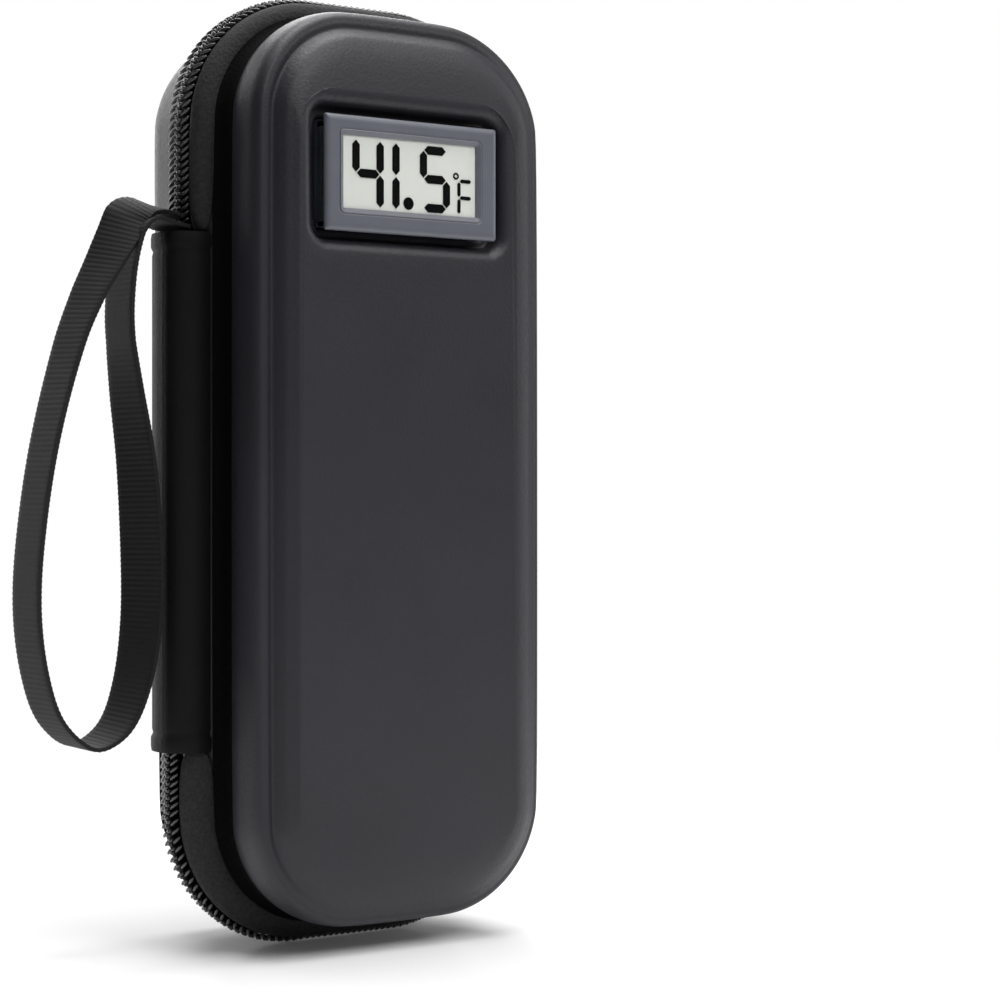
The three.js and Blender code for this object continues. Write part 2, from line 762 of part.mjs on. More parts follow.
function housingGeometry() {
  const half = BEZEL_BEVEL / 2;
  const bezel = ringGeometry([
    bezelRing(BEZEL_BEVEL, 0),
    bezelRing(half / 2, half),
    bezelRing(0, 2 * half),
    bezelRing(0, BEZEL_DEPTH),
  ]);
  const depth = HOUSING_DEPTH - WINDOW_LIP;
  const body = block(BODY_WIDTH, depth, BODY_HEIGHT, 0, WINDOW_LIP + depth / 2, 0);
  const sightNear = { width: WINDOW_WIDTH + 2 * WINDOW_LIP, height: WINDOW_HEIGHT + 2 * WINDOW_LIP };
  const sight = taperedBlock(
    { ...sightNear, radius: WINDOW_LIP, y: -GAP },
    { width: WINDOW_WIDTH, height: WINDOW_HEIGHT, radius: GAP, y: WINDOW_LIP + GAP },
  );
  const rebateDepth = HOUSING_DEPTH;
  const rebate = block(VIEW_WIDTH, rebateDepth, VIEW_HEIGHT, 0, WINDOW_LIP + rebateDepth / 2, 0);
  const inside = block(INSIDE_WIDTH, rebateDepth, INSIDE_HEIGHT, 0, LCD_FRONT + rebateDepth / 2, 0);
  return cut(join(bezel, body), sight, rebate, inside);
}

function windowGeometry() {
  const [width, height] = [VIEW_WIDTH - 2 * GAP, VIEW_HEIGHT - 2 * GAP];
  const front = WINDOW_LIP + GAP;
  return block(width, WINDOW_THICKNESS, height, 0, front + WINDOW_THICKNESS / 2, 0);
}

function lcdGeometry() {
  const [width, height] = [VIEW_WIDTH - 2 * GAP, VIEW_HEIGHT - 2 * GAP];
  return block(width, LCD_THICKNESS, height, 0, LCD_FRONT + LCD_THICKNESS / 2, 0);
}

function boardGeometry() {
  const [width, height] = [INSIDE_WIDTH - 2 * GAP, INSIDE_HEIGHT - 2 * GAP];
  return block(width, BOARD_THICKNESS, height, 0, BOARD_FRONT + BOARD_THICKNESS / 2, 0);
}

// A button cell: a can with the step of its smaller terminal towards the board
function cellGeometry() {
  const [r, t] = [CELL_DIAMETER / 2, CELL_THICKNESS];
  const step = t / 5;
  const profile = [
    [0, 0],
    [r - 2 * step, 0],
    [r - step, step],
    [r, step],
    [r, t],
    [0, t],
  ];
  const points = profile.map(([radius, along]) => new THREE.Vector2(radius, along));
  return new THREE.LatheGeometry(points, ROUND_STEPS).translate(0, CELL_FRONT, 0);
}

function contactGeometry() {
  const length = CELL_SPACING + CELL_DIAMETER / 2;
  const y = CONTACT_FRONT + CONTACT_THICKNESS / 2;
  return block(length, CONTACT_THICKNESS, CONTACT_WIDTH, 0, y, 0);
}

// The back plate closes the housing and carries the two rails of the battery door
function backGeometry() {
  const [width, height] = [INSIDE_WIDTH - 2 * GAP, INSIDE_HEIGHT - 2 * GAP];
  const plate = block(width, BACK_THICKNESS, height, 0, BACK_FRONT + BACK_THICKNESS / 2, 0);
  const hatch = block(
    DOOR_WIDTH - 2 * RAIL_WIDTH,
    3 * BACK_THICKNESS,
    DOOR_HEIGHT - 2 * RAIL_WIDTH,
    0,
    HOUSING_DEPTH,
    0,
  );
  const lift = DOOR_THICKNESS + 2 * GAP;
  const rails = [-1, 1].flatMap((side) => {
    const x = side * (DOOR_WIDTH / 2 + GAP + RAIL_WIDTH / 2);
    const root = HOUSING_DEPTH - BACK_THICKNESS / 2;
    const depth = HOUSING_DEPTH + lift + RAIL_LIP - root;
    const post = block(RAIL_WIDTH, depth, DOOR_HEIGHT, x, root + depth / 2, 0);
    const lipX = side * (DOOR_WIDTH / 2 + GAP + RAIL_WIDTH / 2 - RAIL_WIDTH);
    const lip = block(2 * RAIL_WIDTH, RAIL_LIP, DOOR_HEIGHT, lipX, HOUSING_DEPTH + lift + RAIL_LIP / 2, 0);
    return [post, lip];
  });
  const hole = rod(SENSOR_DIAMETER / 2 + GAP, 0, 2 * HOUSING_DEPTH, SENSOR_OFFSET, 0);
  return cut(join(plate, ...rails), hatch, hole);
}

function doorGeometry() {
  const y = HOUSING_DEPTH + GAP + DOOR_THICKNESS / 2;
  const plate = block(DOOR_WIDTH, DOOR_THICKNESS, DOOR_HEIGHT, 0, y, 0);
  const ribs = [-1, 0, 1].map((row) => {
    const width = DOOR_WIDTH - 6 * RAIL_WIDTH;
    const z = -DOOR_HEIGHT / 3 + row * RAIL_WIDTH;
    return block(width, RAIL_LIP, RAIL_WIDTH / 2, 0, y + DOOR_THICKNESS / 2, z);
  });
  return join(plate, ...ribs);
}

function sensorGeometry() {
  const start = BOARD_FRONT + BOARD_THICKNESS + GAP;
  const end = HOUSING_DEPTH + SENSOR_REACH;
  const r = SENSOR_DIAMETER / 2;
  const points = [new THREE.Vector2(0, start), new THREE.Vector2(r, start)];
  for (let k = 0; k <= SENSOR_STEPS; k += 1) {
    const turn = (k / SENSOR_STEPS) * (Math.PI / 2);
    const radius = k === SENSOR_STEPS ? 0 : r * Math.cos(turn);
    points.push(new THREE.Vector2(radius, end - r + r * Math.sin(turn)));
  }
  return new THREE.LatheGeometry(points, ROUND_STEPS / 2).translate(SENSOR_OFFSET, 0, 0);
}

function thermometer() {
  const group = new THREE.Group();
  group.position.set(0, -FRONT_DEPTH - BEZEL_PROUD, DISPLAY_HEIGHT);
  group.add(
    mesh("thermometer_housing", housingGeometry(), SLATE_PLASTIC),
    mesh("display_window", windowGeometry(), CLEAR_PLASTIC),
    mesh("lcd_panel", lcdGeometry(), DISPLAY_GLASS),
    mesh("circuit_board", boardGeometry(), BOARD),
    mesh("battery_contact", contactGeometry(), STEEL),
    mesh("thermometer_back", backGeometry(), SLATE_PLASTIC),
    mesh("battery_door", doorGeometry(), SLATE_PLASTIC),
    mesh("temperature_sensor", sensorGeometry(), STEEL),
  );
  for (const [name, side] of [["left_button_cell", -1], ["right_button_cell", 1]]) {
    const cell = mesh(name, cellGeometry(), STEEL);
    cell.position.x = (side * CELL_SPACING) / 2;
    group.add(cell);
  }
  return group;
}

// Ice packs and mesh pockets, about the pack's middle, with the panel's face towards +Y

function packGeometry() {
  const half = PACK_THICKNESS / 2;
  const rings = [];
  for (let k = 0; k <= PACK_STEPS; k += 1) {
    const turn = (k / PACK_STEPS - 0.5) * Math.PI;
    const inset = PACK_EDGE * (1 - Math.cos(turn));
    const [width, length] = [PACK_WIDTH - 2 * inset, PACK_LENGTH - 2 * inset];
    rings.push(new Outline(width, length, width / 2 - GAP, 0).ring(half * Math.sin(turn)));
  }
  return ringGeometry(rings);
}

// The pocket stands on the lining, closed below and at the sides, and open at its top
function pocketGeometry() {
  const room = PACK_WIDTH / 2 + POCKET_EASE;
  const deep = PACK_THICKNESS + 2 * GAP;
  const outline = (radius, top) => {
    const shape = new THREE.Shape();
    const centre = -PACK_LENGTH / 2 + PACK_WIDTH / 2;
    shape.moveTo(radius, top);
    shape.lineTo(-radius, top);
    shape.lineTo(-radius, centre);
    shape.absarc(0, centre, radius, Math.PI, 2 * Math.PI);
    return shape;
  };
  const [outer, inner] = [room + POCKET_WALL, room];
  const mouth = PACK_LENGTH / 2 - PACK_WIDTH / 2;
  const shell = extrude(outline(outer, mouth), deep + POCKET_WALL);
  const hollow = extrude(outline(inner, mouth + OVERCUT), deep + OVERCUT).translate(0, 0, -OVERCUT);
  return cut(shell, hollow).rotateX(Math.PI / 2).translate(0, PACK_THICKNESS / 2 + GAP, 0);
}

// side is -1 for the front half and +1 for the rear half
function packPlace(side, depth, height) {
  const group = new THREE.Group();
  group.position.set(0, side * (depth - SEAT_DEPTH - PACK_THICKNESS / 2 - GAP), height);
  if (side < 0) group.rotation.z = Math.PI;
  return group;
}

// Assembly

function base() {
  const group = new THREE.Group();
  const pack = packPlace(1, REAR_DEPTH, REAR_PACK_HEIGHT);
  pack.add(mesh("rear_ice_pack", packGeometry(), BLUE_GEL));
  pack.add(mesh("rear_mesh_pocket", pocketGeometry(), MESH_CLOTH));
  group.add(
    mesh("rear_shell", shellGeometry(1, REAR_DEPTH), LEATHER),
    mesh("rear_lining", liningGeometry(1, REAR_DEPTH), LINING_CLOTH),
    mesh("rear_zipper_tape", tapeGeometry(1), TAPE_CLOTH),
    mesh("rear_zipper_coil", coilGeometry(1), NYLON),
    mesh("rear_spine_welt", weltGeometry(1), LEATHER),
    pack,
  );
  return group;
}

function lid() {
  const group = new THREE.Group();
  const pack = packPlace(-1, FRONT_DEPTH, FRONT_PACK_HEIGHT);
  pack.add(mesh("front_ice_pack", packGeometry(), BLUE_GEL));
  pack.add(mesh("front_mesh_pocket", pocketGeometry(), MESH_CLOTH));
  group.add(
    mesh("front_shell", frontShellGeometry(), LEATHER),
    mesh("front_lining", frontLiningGeometry(), LINING_CLOTH),
    mesh("front_zipper_tape", tapeGeometry(-1), TAPE_CLOTH),
    mesh("front_zipper_coil", coilGeometry(-1), NYLON),
    mesh("front_spine_welt", weltGeometry(-1), LEATHER),
    thermometer(),
    pack,
  );
  return group;
}

function spine() {
  const group = new THREE.Group();
  group.add(
    mesh("spine_band", bandOfSpine(), LEATHER),
    mesh("upper_hem", hemGeometry(SPINE_TOP - HEM_HEIGHT), LEATHER),
    mesh("lower_hem", hemGeometry(SPINE_BOTTOM), LEATHER),
    mesh("strap_tab", tabGeometry(), WEBBING),
    mesh("wrist_strap", strapGeometry(), WEBBING),
  );
  return group;
}

// The two sliders meet head to head on the right side, with their pulls pointing apart
function slider(name, side) {
  const group = new THREE.Group();
  group.position.set(CASE_WIDTH / 2, 0, MIDDLE + (side * SLIDER_SPACING) / 2);
  const pull = mesh(`${name}_pull`, pullGeometry(), DARK_METAL);
  pull.position.x = PIVOT_OUT;
  if (side < 0) pull.rotation.x = Math.PI;
  else pull.rotation.y = -PULL_LEAN * DEGREE;
  group.add(mesh(`${name}_slider`, sliderGeometry(), DARK_METAL), pull);
  return group;
}

const insulinCoolingCase = new THREE.Group();
insulinCoolingCase.add(base(), lid(), spine(), slider("upper", 1), slider("lower", -1));

export default insulinCoolingCase;
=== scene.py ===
# %% [markdown]
# # An insulin cooling case
#
# This lesson dresses a working model of a zip-round travel case. The model brings the sizes and the
# joints. Here every surface gets its finish, and the soft and moulded pieces get their true shapes.
#
# Each piece is made in a bmesh with operators, put on a body of the model, and given a finish made of
# shader nodes. Lengths are metres, so a value such as `3 * MM` is three millimetres.

# %% Load the model
import json
from math import cos, exp, pi, radians, sin

import bmesh
import bpy
from mathutils import Matrix, Vector
from mathutils.geometry import interpolate_bezier


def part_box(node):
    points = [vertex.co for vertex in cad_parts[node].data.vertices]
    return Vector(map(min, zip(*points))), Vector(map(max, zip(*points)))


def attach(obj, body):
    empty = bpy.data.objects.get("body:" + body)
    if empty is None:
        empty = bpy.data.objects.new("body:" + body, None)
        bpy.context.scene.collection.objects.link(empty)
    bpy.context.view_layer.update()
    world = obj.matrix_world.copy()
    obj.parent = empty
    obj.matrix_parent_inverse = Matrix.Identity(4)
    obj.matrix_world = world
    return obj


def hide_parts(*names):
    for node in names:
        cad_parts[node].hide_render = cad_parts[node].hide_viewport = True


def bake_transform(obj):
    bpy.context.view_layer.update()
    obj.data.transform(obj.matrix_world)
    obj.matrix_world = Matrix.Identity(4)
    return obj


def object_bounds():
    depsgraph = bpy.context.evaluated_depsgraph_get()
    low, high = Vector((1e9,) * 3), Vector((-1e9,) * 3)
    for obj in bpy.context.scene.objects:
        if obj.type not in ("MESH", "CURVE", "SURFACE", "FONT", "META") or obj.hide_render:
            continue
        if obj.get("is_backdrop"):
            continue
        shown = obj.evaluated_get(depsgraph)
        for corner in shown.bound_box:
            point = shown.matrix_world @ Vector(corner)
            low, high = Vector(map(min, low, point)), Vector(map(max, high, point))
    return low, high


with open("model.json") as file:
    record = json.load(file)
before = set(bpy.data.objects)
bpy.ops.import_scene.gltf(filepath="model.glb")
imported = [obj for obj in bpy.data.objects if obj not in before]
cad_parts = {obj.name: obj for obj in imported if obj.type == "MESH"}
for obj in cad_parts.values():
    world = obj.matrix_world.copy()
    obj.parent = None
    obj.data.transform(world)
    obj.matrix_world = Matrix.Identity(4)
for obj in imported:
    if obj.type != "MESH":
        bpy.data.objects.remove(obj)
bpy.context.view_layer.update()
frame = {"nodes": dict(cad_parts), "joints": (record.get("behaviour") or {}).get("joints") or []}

MM = 0.001
nodes = frame["nodes"]
joints = {joint["name"]: joint for joint in frame["joints"]}
scene = bpy.context.scene
print("pieces of the model:", len(nodes))

# %% [markdown]
# ## The camera
#
# The photograph was taken with a long lens, level, from the front left. A camera that looks level keeps
# upright edges upright. Its turn puts the case left of the middle, as the photograph has it.

# %% Camera
CAMERA_AZIMUTH = radians(33.5)
CAMERA_DISTANCE = 604 * MM
CAMERA_HEIGHT = 103 * MM
CAMERA_TURN = radians(3.39)
LENS = 93.6
HORIZON_SHIFT = -0.01

lens = bpy.data.cameras.new("camera")
lens.lens = LENS
lens.sensor_width = 36
lens.shift_y = HORIZON_SHIFT
lens.clip_start = 0.01
camera = bpy.data.objects.new("camera", lens)
camera.location = (
    -CAMERA_DISTANCE * sin(CAMERA_AZIMUTH),
    -CAMERA_DISTANCE * cos(CAMERA_AZIMUTH),
    CAMERA_HEIGHT,
)
camera.rotation_euler = (radians(90), 0, -CAMERA_AZIMUTH - CAMERA_TURN)
scene.collection.objects.link(camera)
scene.camera = camera
print("camera at", [round(c, 3) for c in camera.location])

# %% [markdown]
# ## Writing finishes as expressions
#
# A finish is a small graph of nodes. Building it link by link is long to read, so a wrapped socket can
# take part in ordinary sums: `1 - grain * 0.2` adds the Math nodes for it. Any other node comes from
# one method, which takes its type, its settings and what goes into its sockets.


# %% Finish helpers
class Value:
    """A socket that takes part in sums."""

    def __init__(self, finish, socket):
        self.finish = finish
        self.socket = socket

    def sum(self, operation, first, second):
        return self.finish.node("Math", {"operation": operation}, {0: first, 1: second})

    def __add__(self, other):
        return self.sum("ADD", self, other)

    def __radd__(self, other):
        return self.sum("ADD", other, self)

    def __sub__(self, other):
        return self.sum("SUBTRACT", self, other)

    def __rsub__(self, other):
        return self.sum("SUBTRACT", other, self)

    def __mul__(self, other):
        return self.sum("MULTIPLY", self, other)

    def __rmul__(self, other):
        return self.sum("MULTIPLY", other, self)


class Finish:
    """A material in the making."""

    def __init__(self, name, gloss=0.5, **constants):
        self.material = bpy.data.materials.new(name)
        self.material.use_nodes = True
        self.tree = self.material.node_tree
        self.shader = self.tree.nodes["Principled BSDF"]
        self.place = self.node("TexCoord", {}, {}, "Object")
        self.set("Specular IOR Level", gloss)
        for socket, value in constants.items():
            self.set(socket.replace("_", " "), value)

    def node(self, kind, settings, inputs, output=0):
        made = self.tree.nodes.new("ShaderNode" + kind)
        for name, value in settings.items():
            setattr(made, name, value)
        for name, value in inputs.items():
            self.feed(made.inputs[name], value)
        return Value(self, made.outputs[output])

    def feed(self, socket, value):
        if isinstance(value, Value):
            self.tree.links.new(value.socket, socket)
        else:
            socket.default_value = value

    def set(self, name, value):
        self.feed(self.shader.inputs[name], value)

    def axes(self, vector):
        parts = self.node("SeparateXYZ", {}, {0: vector}).socket.node
        return [Value(self, socket) for socket in parts.outputs]

    def noise(self, size, detail=2.0, rough=0.5, vector=None):
        inputs = {"Vector": vector or self.place, "Scale": 1 / size, "Detail": detail, "Roughness": rough}
        return self.node("TexNoise", {}, inputs)

    def cells(self, size):
        inputs = {"Vector": self.place, "Scale": 1 / size, "Smoothness": 0.35}
        return self.node("TexVoronoi", {"feature": "SMOOTH_F1"}, inputs)

    def wave(self, value, pitch):
        return self.node("Math", {"operation": "SINE"}, {0: value * (2 * pi / pitch)}) * 0.5 + 0.5

    def paint(self, share, dark, light):
        inputs = {0: share, 6: (*dark, 1), 7: (*light, 1)}
        self.set("Base Color", self.node("Mix", {"data_type": "RGBA"}, inputs, 2))

    def relief(self, height, depth, strength):
        inputs = {"Height": height, "Distance": depth, "Strength": strength}
        self.set("Normal", self.node("Bump", {}, inputs))


def tint(red, green, blue):
    """A colour of display levels from 0 to 255, as linear light."""
    linear = []
    for level in (red, green, blue):
        share = level / 255
        linear.append(share / 12.92 if share <= 0.04045 else ((share + 0.055) / 1.055) ** 2.4)
    return tuple(linear)


print("finishes are ready to be written")

# %% [markdown]
# ## The finishes of the case
#
# The case is covered in a coated cloth with a fine pebbled grain. Grain is relief, so it goes into a
# Bump node, and the same pattern makes the hollows a little rougher than the tops. Slow noise keeps a
# large panel from looking like one flat colour. Plainer finishes share one function: a fine noise sets
# their gloss and relief, and a blend of the fine and a broad noise picks the colour.


# %% Case finishes
def leather_finish(name, gloss, rough, dark, light):
    finish = Finish(name, gloss)
    grain = finish.cells(0.75 * MM)
    fine = finish.noise(0.3 * MM, 3)
    broad = finish.noise(26 * MM, 3)
    finish.paint(broad, dark, light)
    finish.set("Roughness", rough + grain * 0.1 + broad * 0.08)
    finish.relief(grain + fine * 0.5, 0.045 * MM, 0.8)
    return finish.material


def tape_finish(name, gloss, dark, light):
    finish = Finish(name, gloss)
    fuzz = finish.noise(0.4 * MM, 3, 0.6)
    weave = finish.cells(0.8 * MM) * 0.6 + fuzz * 0.5
    finish.paint(weave, dark, light)
    finish.set("Roughness", 0.7 + fuzz * 0.2)
    finish.relief(weave, 0.2 * MM, 0.9)
    return finish.material


def plain_finish(name, gloss, colours, rough, fine, broad=None, blend=1, relief=None, **constants):
    """Each noise is a size, a detail and a roughness; blend is the fine one's share of the colour."""
    finish = Finish(name, gloss, **constants)
    small = finish.noise(*fine)
    pattern = small * blend + finish.noise(*broad) * (1 - blend) if broad else small
    finish.paint(pattern, *colours)
    finish.set("Roughness", rough[0] + small * rough[1])
    if relief:
        finish.relief(small, *relief)
    return finish.material


LEATHER = leather_finish("leather", 0.4, 0.41, tint(22, 22, 27), tint(30, 29, 36))
SOFT_LEATHER = leather_finish("soft_leather", 0.1, 0.55, tint(12, 12, 13), tint(20, 20, 22))
TAPE = tape_finish("tape_cloth", 0.25, tint(9, 9, 10), tint(44, 44, 46))
# Near-black cloth that paints the shade deep in the lid's groove.
PAINTED_GROOVE_SHADE = tape_finish("painted_groove_shade", 0.05, tint(2, 2, 3), tint(7, 7, 8))
COIL = plain_finish(
    "nylon",
    0.6,
    colours=(tint(30, 30, 31), tint(50, 50, 50)),
    rough=(0.26, 0.2),
    fine=(1.1 * MM, 2),
)
LINING = plain_finish(
    "lining_cloth",
    0.5,
    colours=(tint(44, 46, 50), tint(70, 72, 77)),
    rough=(0.85, 0.15),
    fine=(0.5 * MM, 4, 0.7),
    broad=(18 * MM,),
    blend=0.6,
    relief=(0.12 * MM, 0.7),
    Sheen_Weight=0.25,
)
print("case finishes:", [made.name for made in (LEATHER, SOFT_LEATHER, TAPE, PAINTED_GROOVE_SHADE, COIL, LINING)])

# %% [markdown]
# ## The wrist strap
#
# The strap is a flat ribbed ribbon. Both its ends go under the upper hem of the spine, one on top of the
# other. A ribbon is a grid laid along a route: one side of the grid runs along it and the other across.
# The cross ribs are real ripples in the grid, so they catch the light at the edge as well.


# %% Pieces and ribbons
def piece(name, bm, material, stands_for=(), body=None, levels=0, sharp=None, slot=None):
    """Turns a bmesh into a piece on a body. The slot argument is not used."""
    mesh = bpy.data.meshes.new(name)
    bm.to_mesh(mesh)
    bm.free()
    mesh.shade_smooth()
    if sharp is not None:
        mesh.set_sharp_from_angle(angle=radians(sharp))
    mesh.materials.append(material)
    made = bpy.data.objects.new(name, mesh)
    scene.collection.objects.link(made)
    if levels:
        smooth = made.modifiers.new("smooth", "SUBSURF")
        smooth.levels = levels
        smooth.render_levels = levels
    if body:
        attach(made, body)
    if stands_for:
        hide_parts(*stands_for)
    print(name, "has", len(mesh.polygons), "faces")
    return made


def thicken(made, thickness, rounding):
    """Gives a sheet its thickness and rounds its edges."""
    thick = made.modifiers.new("thickness", "SOLIDIFY")
    thick.thickness = thickness
    thick.offset = 0
    edge = made.modifiers.new("edge", "BEVEL")
    edge.width = rounding
    edge.segments = 2
    edge.angle_limit = radians(60)


CURVE_STEPS = 12


def smooth_route(points, steps):
    """A smooth line of evenly spaced places through the points, and its length."""
    ends = [2 * points[0] - points[1], *points, 2 * points[-1] - points[-2]]
    line = []
    for before, here, there, after in zip(ends, ends[1:], ends[2:], ends[3:]):
        reach = (there - here).length
        out = (there - before) / (reach + (here - before).length)
        back = (after - here) / ((after - there).length + reach)
        handles = (here + out * reach / 3, there - back * reach / 3)
        line += interpolate_bezier(here, *handles, there, CURVE_STEPS)[:-1]
    line.append(points[-1])
    walked = [0]
    for here, there in zip(line, line[1:]):
        walked.append(walked[-1] + (there - here).length)
    even = []
    k = 0
    for step in range(steps + 1):
        goal = walked[-1] * step / steps
        while k < len(line) - 2 and walked[k + 1] < goal:
            k += 1
        share = (goal - walked[k]) / (walked[k + 1] - walked[k])
        even.append(line[k].lerp(line[k + 1], min(1, share)))
    return even, walked[-1]


RIBBON_COLUMNS = 8
DEPTHWISE = Vector((0, 1, 0))


def ribbon(bm, route, width, ripple, waves, across=DEPTHWISE, twist=None):
    """A grid laid along a route, rippled along its length and turned by a twist."""
    bm.loops.layers.uv.verify()
    steps = len(route) - 1
    grid = bmesh.ops.create_grid(
        bm, x_segments=steps, y_segments=RIBBON_COLUMNS, size=0.5, calc_uvs=True
    )["verts"]
    for vert in grid:
        share, side = vert.co.x + 0.5, vert.co.y
        k = round(share * steps)
        along = (route[min(k + 1, steps)] - route[max(k - 1, 0)]).normalized()
        turn = twist(share) if twist else 0
        wide = Matrix.Rotation(turn, 3, along) @ across
        lift = ripple * cos(share * waves * 2 * pi)
        vert.co = route[k] + wide * (side * width) + along.cross(wide) * lift


print("ribbon columns:", RIBBON_COLUMNS)

# %% Strap finish
WARP_THREADS = 22

finish = Finish("webbing", 0.2)
crosswise = finish.axes(finish.node("TexCoord", {}, {}, "UV"))[1]
fuzz = finish.noise(0.4 * MM, 3, 0.65)
weave = finish.wave(crosswise, 1 / WARP_THREADS) * 0.35 + fuzz * 0.65
finish.paint(weave, tint(11, 10, 11), tint(34, 32, 34))
finish.set("Roughness", 0.66 + fuzz * 0.2)
finish.relief(weave, 0.09 * MM, 0.8)
WEBBING = finish.material
print("threads across the strap:", WARP_THREADS)

# %% [markdown]
# The route of the loop is a list of places, each out from the strap's hinge, below it and behind it. It
# starts above the hem, goes out over the top, hangs down in a loop and comes back below its own start.

# %% Wrist strap
STRAP_WIDTH = 12 * MM
STRAP_THICKNESS = 0.85 * MM
UPPER_TWIST = radians(34)
UPPER_PLACE = 0.05
UPPER_FADE = 0.06
LOWER_TWIST = radians(19)
LOWER_START = 0.5
LOWER_SPAN = 0.36
RIB_PITCH = 1.15 * MM
RIB_HEIGHT = 0.06 * MM
STEPS_PER_RIB = 4
STRAP_ROUTE = [
    (-9.6, -1.2, 3.6), (-7.0, -2.4, 3.4), (-4.2, -3.2, 3.0), (-1.4, -3.2, 2.5), (1.4, -1.7, 1.8),
    (4.6, 3.0, 1.0), (8.6, 9.6, 0.5), (12.8, 17, 0.2), (17.5, 28, 0), (23.4, 49.6, 0),
    (26.8, 71.2, 0), (27.4, 86.4, 0), (25.3, 100.3, 0), (21.4, 109.6, 0), (14, 115, 0),
    (6.7, 111.4, 0), (2.3, 102.2, 0), (-0.1, 88.5, 0), (-0.3, 73.5, 0), (1.1, 53.5, 0),
    (3.7, 36.5, 0), (5.2, 23.5, 0), (4.7, 14, 0.2), (3.2, 6.6, 0.5), (1.1, 1.8, 0.9),
    (-2.0, -0.1, 1.3), (-5.4, 0.4, 1.6), (-8.2, 1.0, 1.8), (-10.2, 1.3, 1.8),
]
PIVOT = Vector(joints["strap_swing"]["pos_m"])


def clamp(value):
    """A value held between 0 and 1."""
    return min(1, max(0, value))


def leg_twist(share):
    """The outer leg turns its face to the front near the top, the other leg near the bottom."""
    upper = min(share / UPPER_PLACE, exp((UPPER_PLACE - share) / UPPER_FADE))
    lower = sin(pi * clamp((share - LOWER_START) / LOWER_SPAN))
    return LOWER_TWIST * lower - UPPER_TWIST * upper


points = [PIVOT + Vector((-out, back, -below)) * MM for out, below, back in STRAP_ROUTE]
ribs = round(smooth_route(points, 1)[1] / RIB_PITCH)
route, length = smooth_route(points, ribs * STEPS_PER_RIB)
bm = bmesh.new()
ribbon(bm, route, STRAP_WIDTH, RIB_HEIGHT, ribs, twist=leg_twist)
made = piece("wrist_strap_ribbon", bm, WEBBING, ["wrist_strap", "strap_tab"])
thicken(made, STRAP_THICKNESS, STRAP_THICKNESS / 4)
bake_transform(made)
print("strap length", round(length, 4), "m")

# %% [markdown]
# ## The moulded shells
#
# Each half is pressed from foam board covered in coated cloth. Its outline is a rounded rectangle, and
# only its size changes from the rim to the panel, so a shell is a row of rounded rings. A vertex bevel
# rounds the corners of a square, and its edge is then extruded into the next ring again and again.
# Bridging separate rings would be another way, but it can twist where the rings differ in size.

# %% Rounded rings
CORNER_STEPS = 8
MERGE = 0.001 * MM


def rounded(bm, geom, offset, **settings):
    """Bevels corners or edges into a round."""
    made = bmesh.ops.bevel(bm, geom=geom, offset=offset, profile=0.5, material=-1, **settings)
    return made["verts"]


def first_ring(bm, ring):
    """The closed loop of edges of an upright rounded rectangle: width, height, radius, y, z."""
    width, height, radius, y, z = ring
    square = bmesh.ops.create_grid(bm, x_segments=1, y_segments=1, size=0.5)["verts"]
    bmesh.ops.scale(bm, vec=(width, height, 1), verts=square)
    bmesh.ops.rotate(bm, matrix=Matrix.Rotation(pi / 2, 3, "X"), verts=square)
    bmesh.ops.translate(bm, vec=(0, y, z), verts=square)
    corners = rounded(bm, square, radius, affect="VERTICES", segments=CORNER_STEPS)
    face = corners[0].link_faces[0]
    edges = list(face.edges)
    bmesh.ops.delete(bm, geom=[face], context="FACES_ONLY")
    return edges


def corner(ring, right, above):
    """The centre of one rounded corner of a ring."""
    width, height, radius, y, z = ring
    x = width / 2 - radius
    rise = height / 2 - radius
    return Vector((x if right else -x, y, z + rise if above else z - rise))


def next_ring(bm, edges, old, new):
    """Extrudes a ring and moves each new point with its corner."""
    grown = bmesh.ops.extrude_edge_only(bm, edges=edges)["geom"]
    for vert in grown:
        if isinstance(vert, bmesh.types.BMVert):
            right, above = vert.co.x > 0, vert.co.z > old[4]
            spoke = vert.co - corner(old, right, above)
            vert.co = corner(new, right, above) + spoke * (new[2] / old[2])
    return [edge for edge in grown if isinstance(edge, bmesh.types.BMEdge)]


def loft(bm, rings, caps=False):
    """Joins a row of rings by extruding one into the next; caps closes both ends."""
    first = first_ring(bm, rings[0])
    last = first
    for old, new in zip(rings, rings[1:]):
        last = next_ring(bm, last, old, new)
    if caps:
        bmesh.ops.contextual_create(bm, geom=first)
        bmesh.ops.contextual_create(bm, geom=last)
    bmesh.ops.remove_doubles(bm, verts=bm.verts, dist=MERGE)
    bmesh.ops.recalc_face_normals(bm, faces=bm.faces)


def lofted(name, rings, material, stands_for, body, caps=False, **look):
    """A piece that is a row of rings."""
    bm = bmesh.new()
    loft(bm, rings, caps)
    return piece(name, bm, material, stands_for, body, **look)


def grown_ring(size, grow, radius, y, z):
    """A ring round a width and a height, grown on every side."""
    return size[0] + 2 * grow, size[1] + 2 * grow, radius, y, z


shell_low, shell_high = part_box("rear_shell")
LIP_STANDOUT = 2 * MM
WALL_WIDTH = shell_high.x - shell_low.x - 2 * LIP_STANDOUT
WALL_HEIGHT = shell_high.z - shell_low.z - 2 * LIP_STANDOUT
WALL_RADIUS = 27 * MM
MIDDLE = (shell_low.z + shell_high.z) / 2


def wall_ring(side, depth, inset):
    """A ring at a depth from the middle plane, set in from the wall; side is -1 for the front."""
    return grown_ring((WALL_WIDTH, WALL_HEIGHT), -inset, WALL_RADIUS - inset, side * depth, MIDDLE)


print("wall", round(WALL_WIDTH / MM, 1), "by", round(WALL_HEIGHT / MM, 1), "mm")

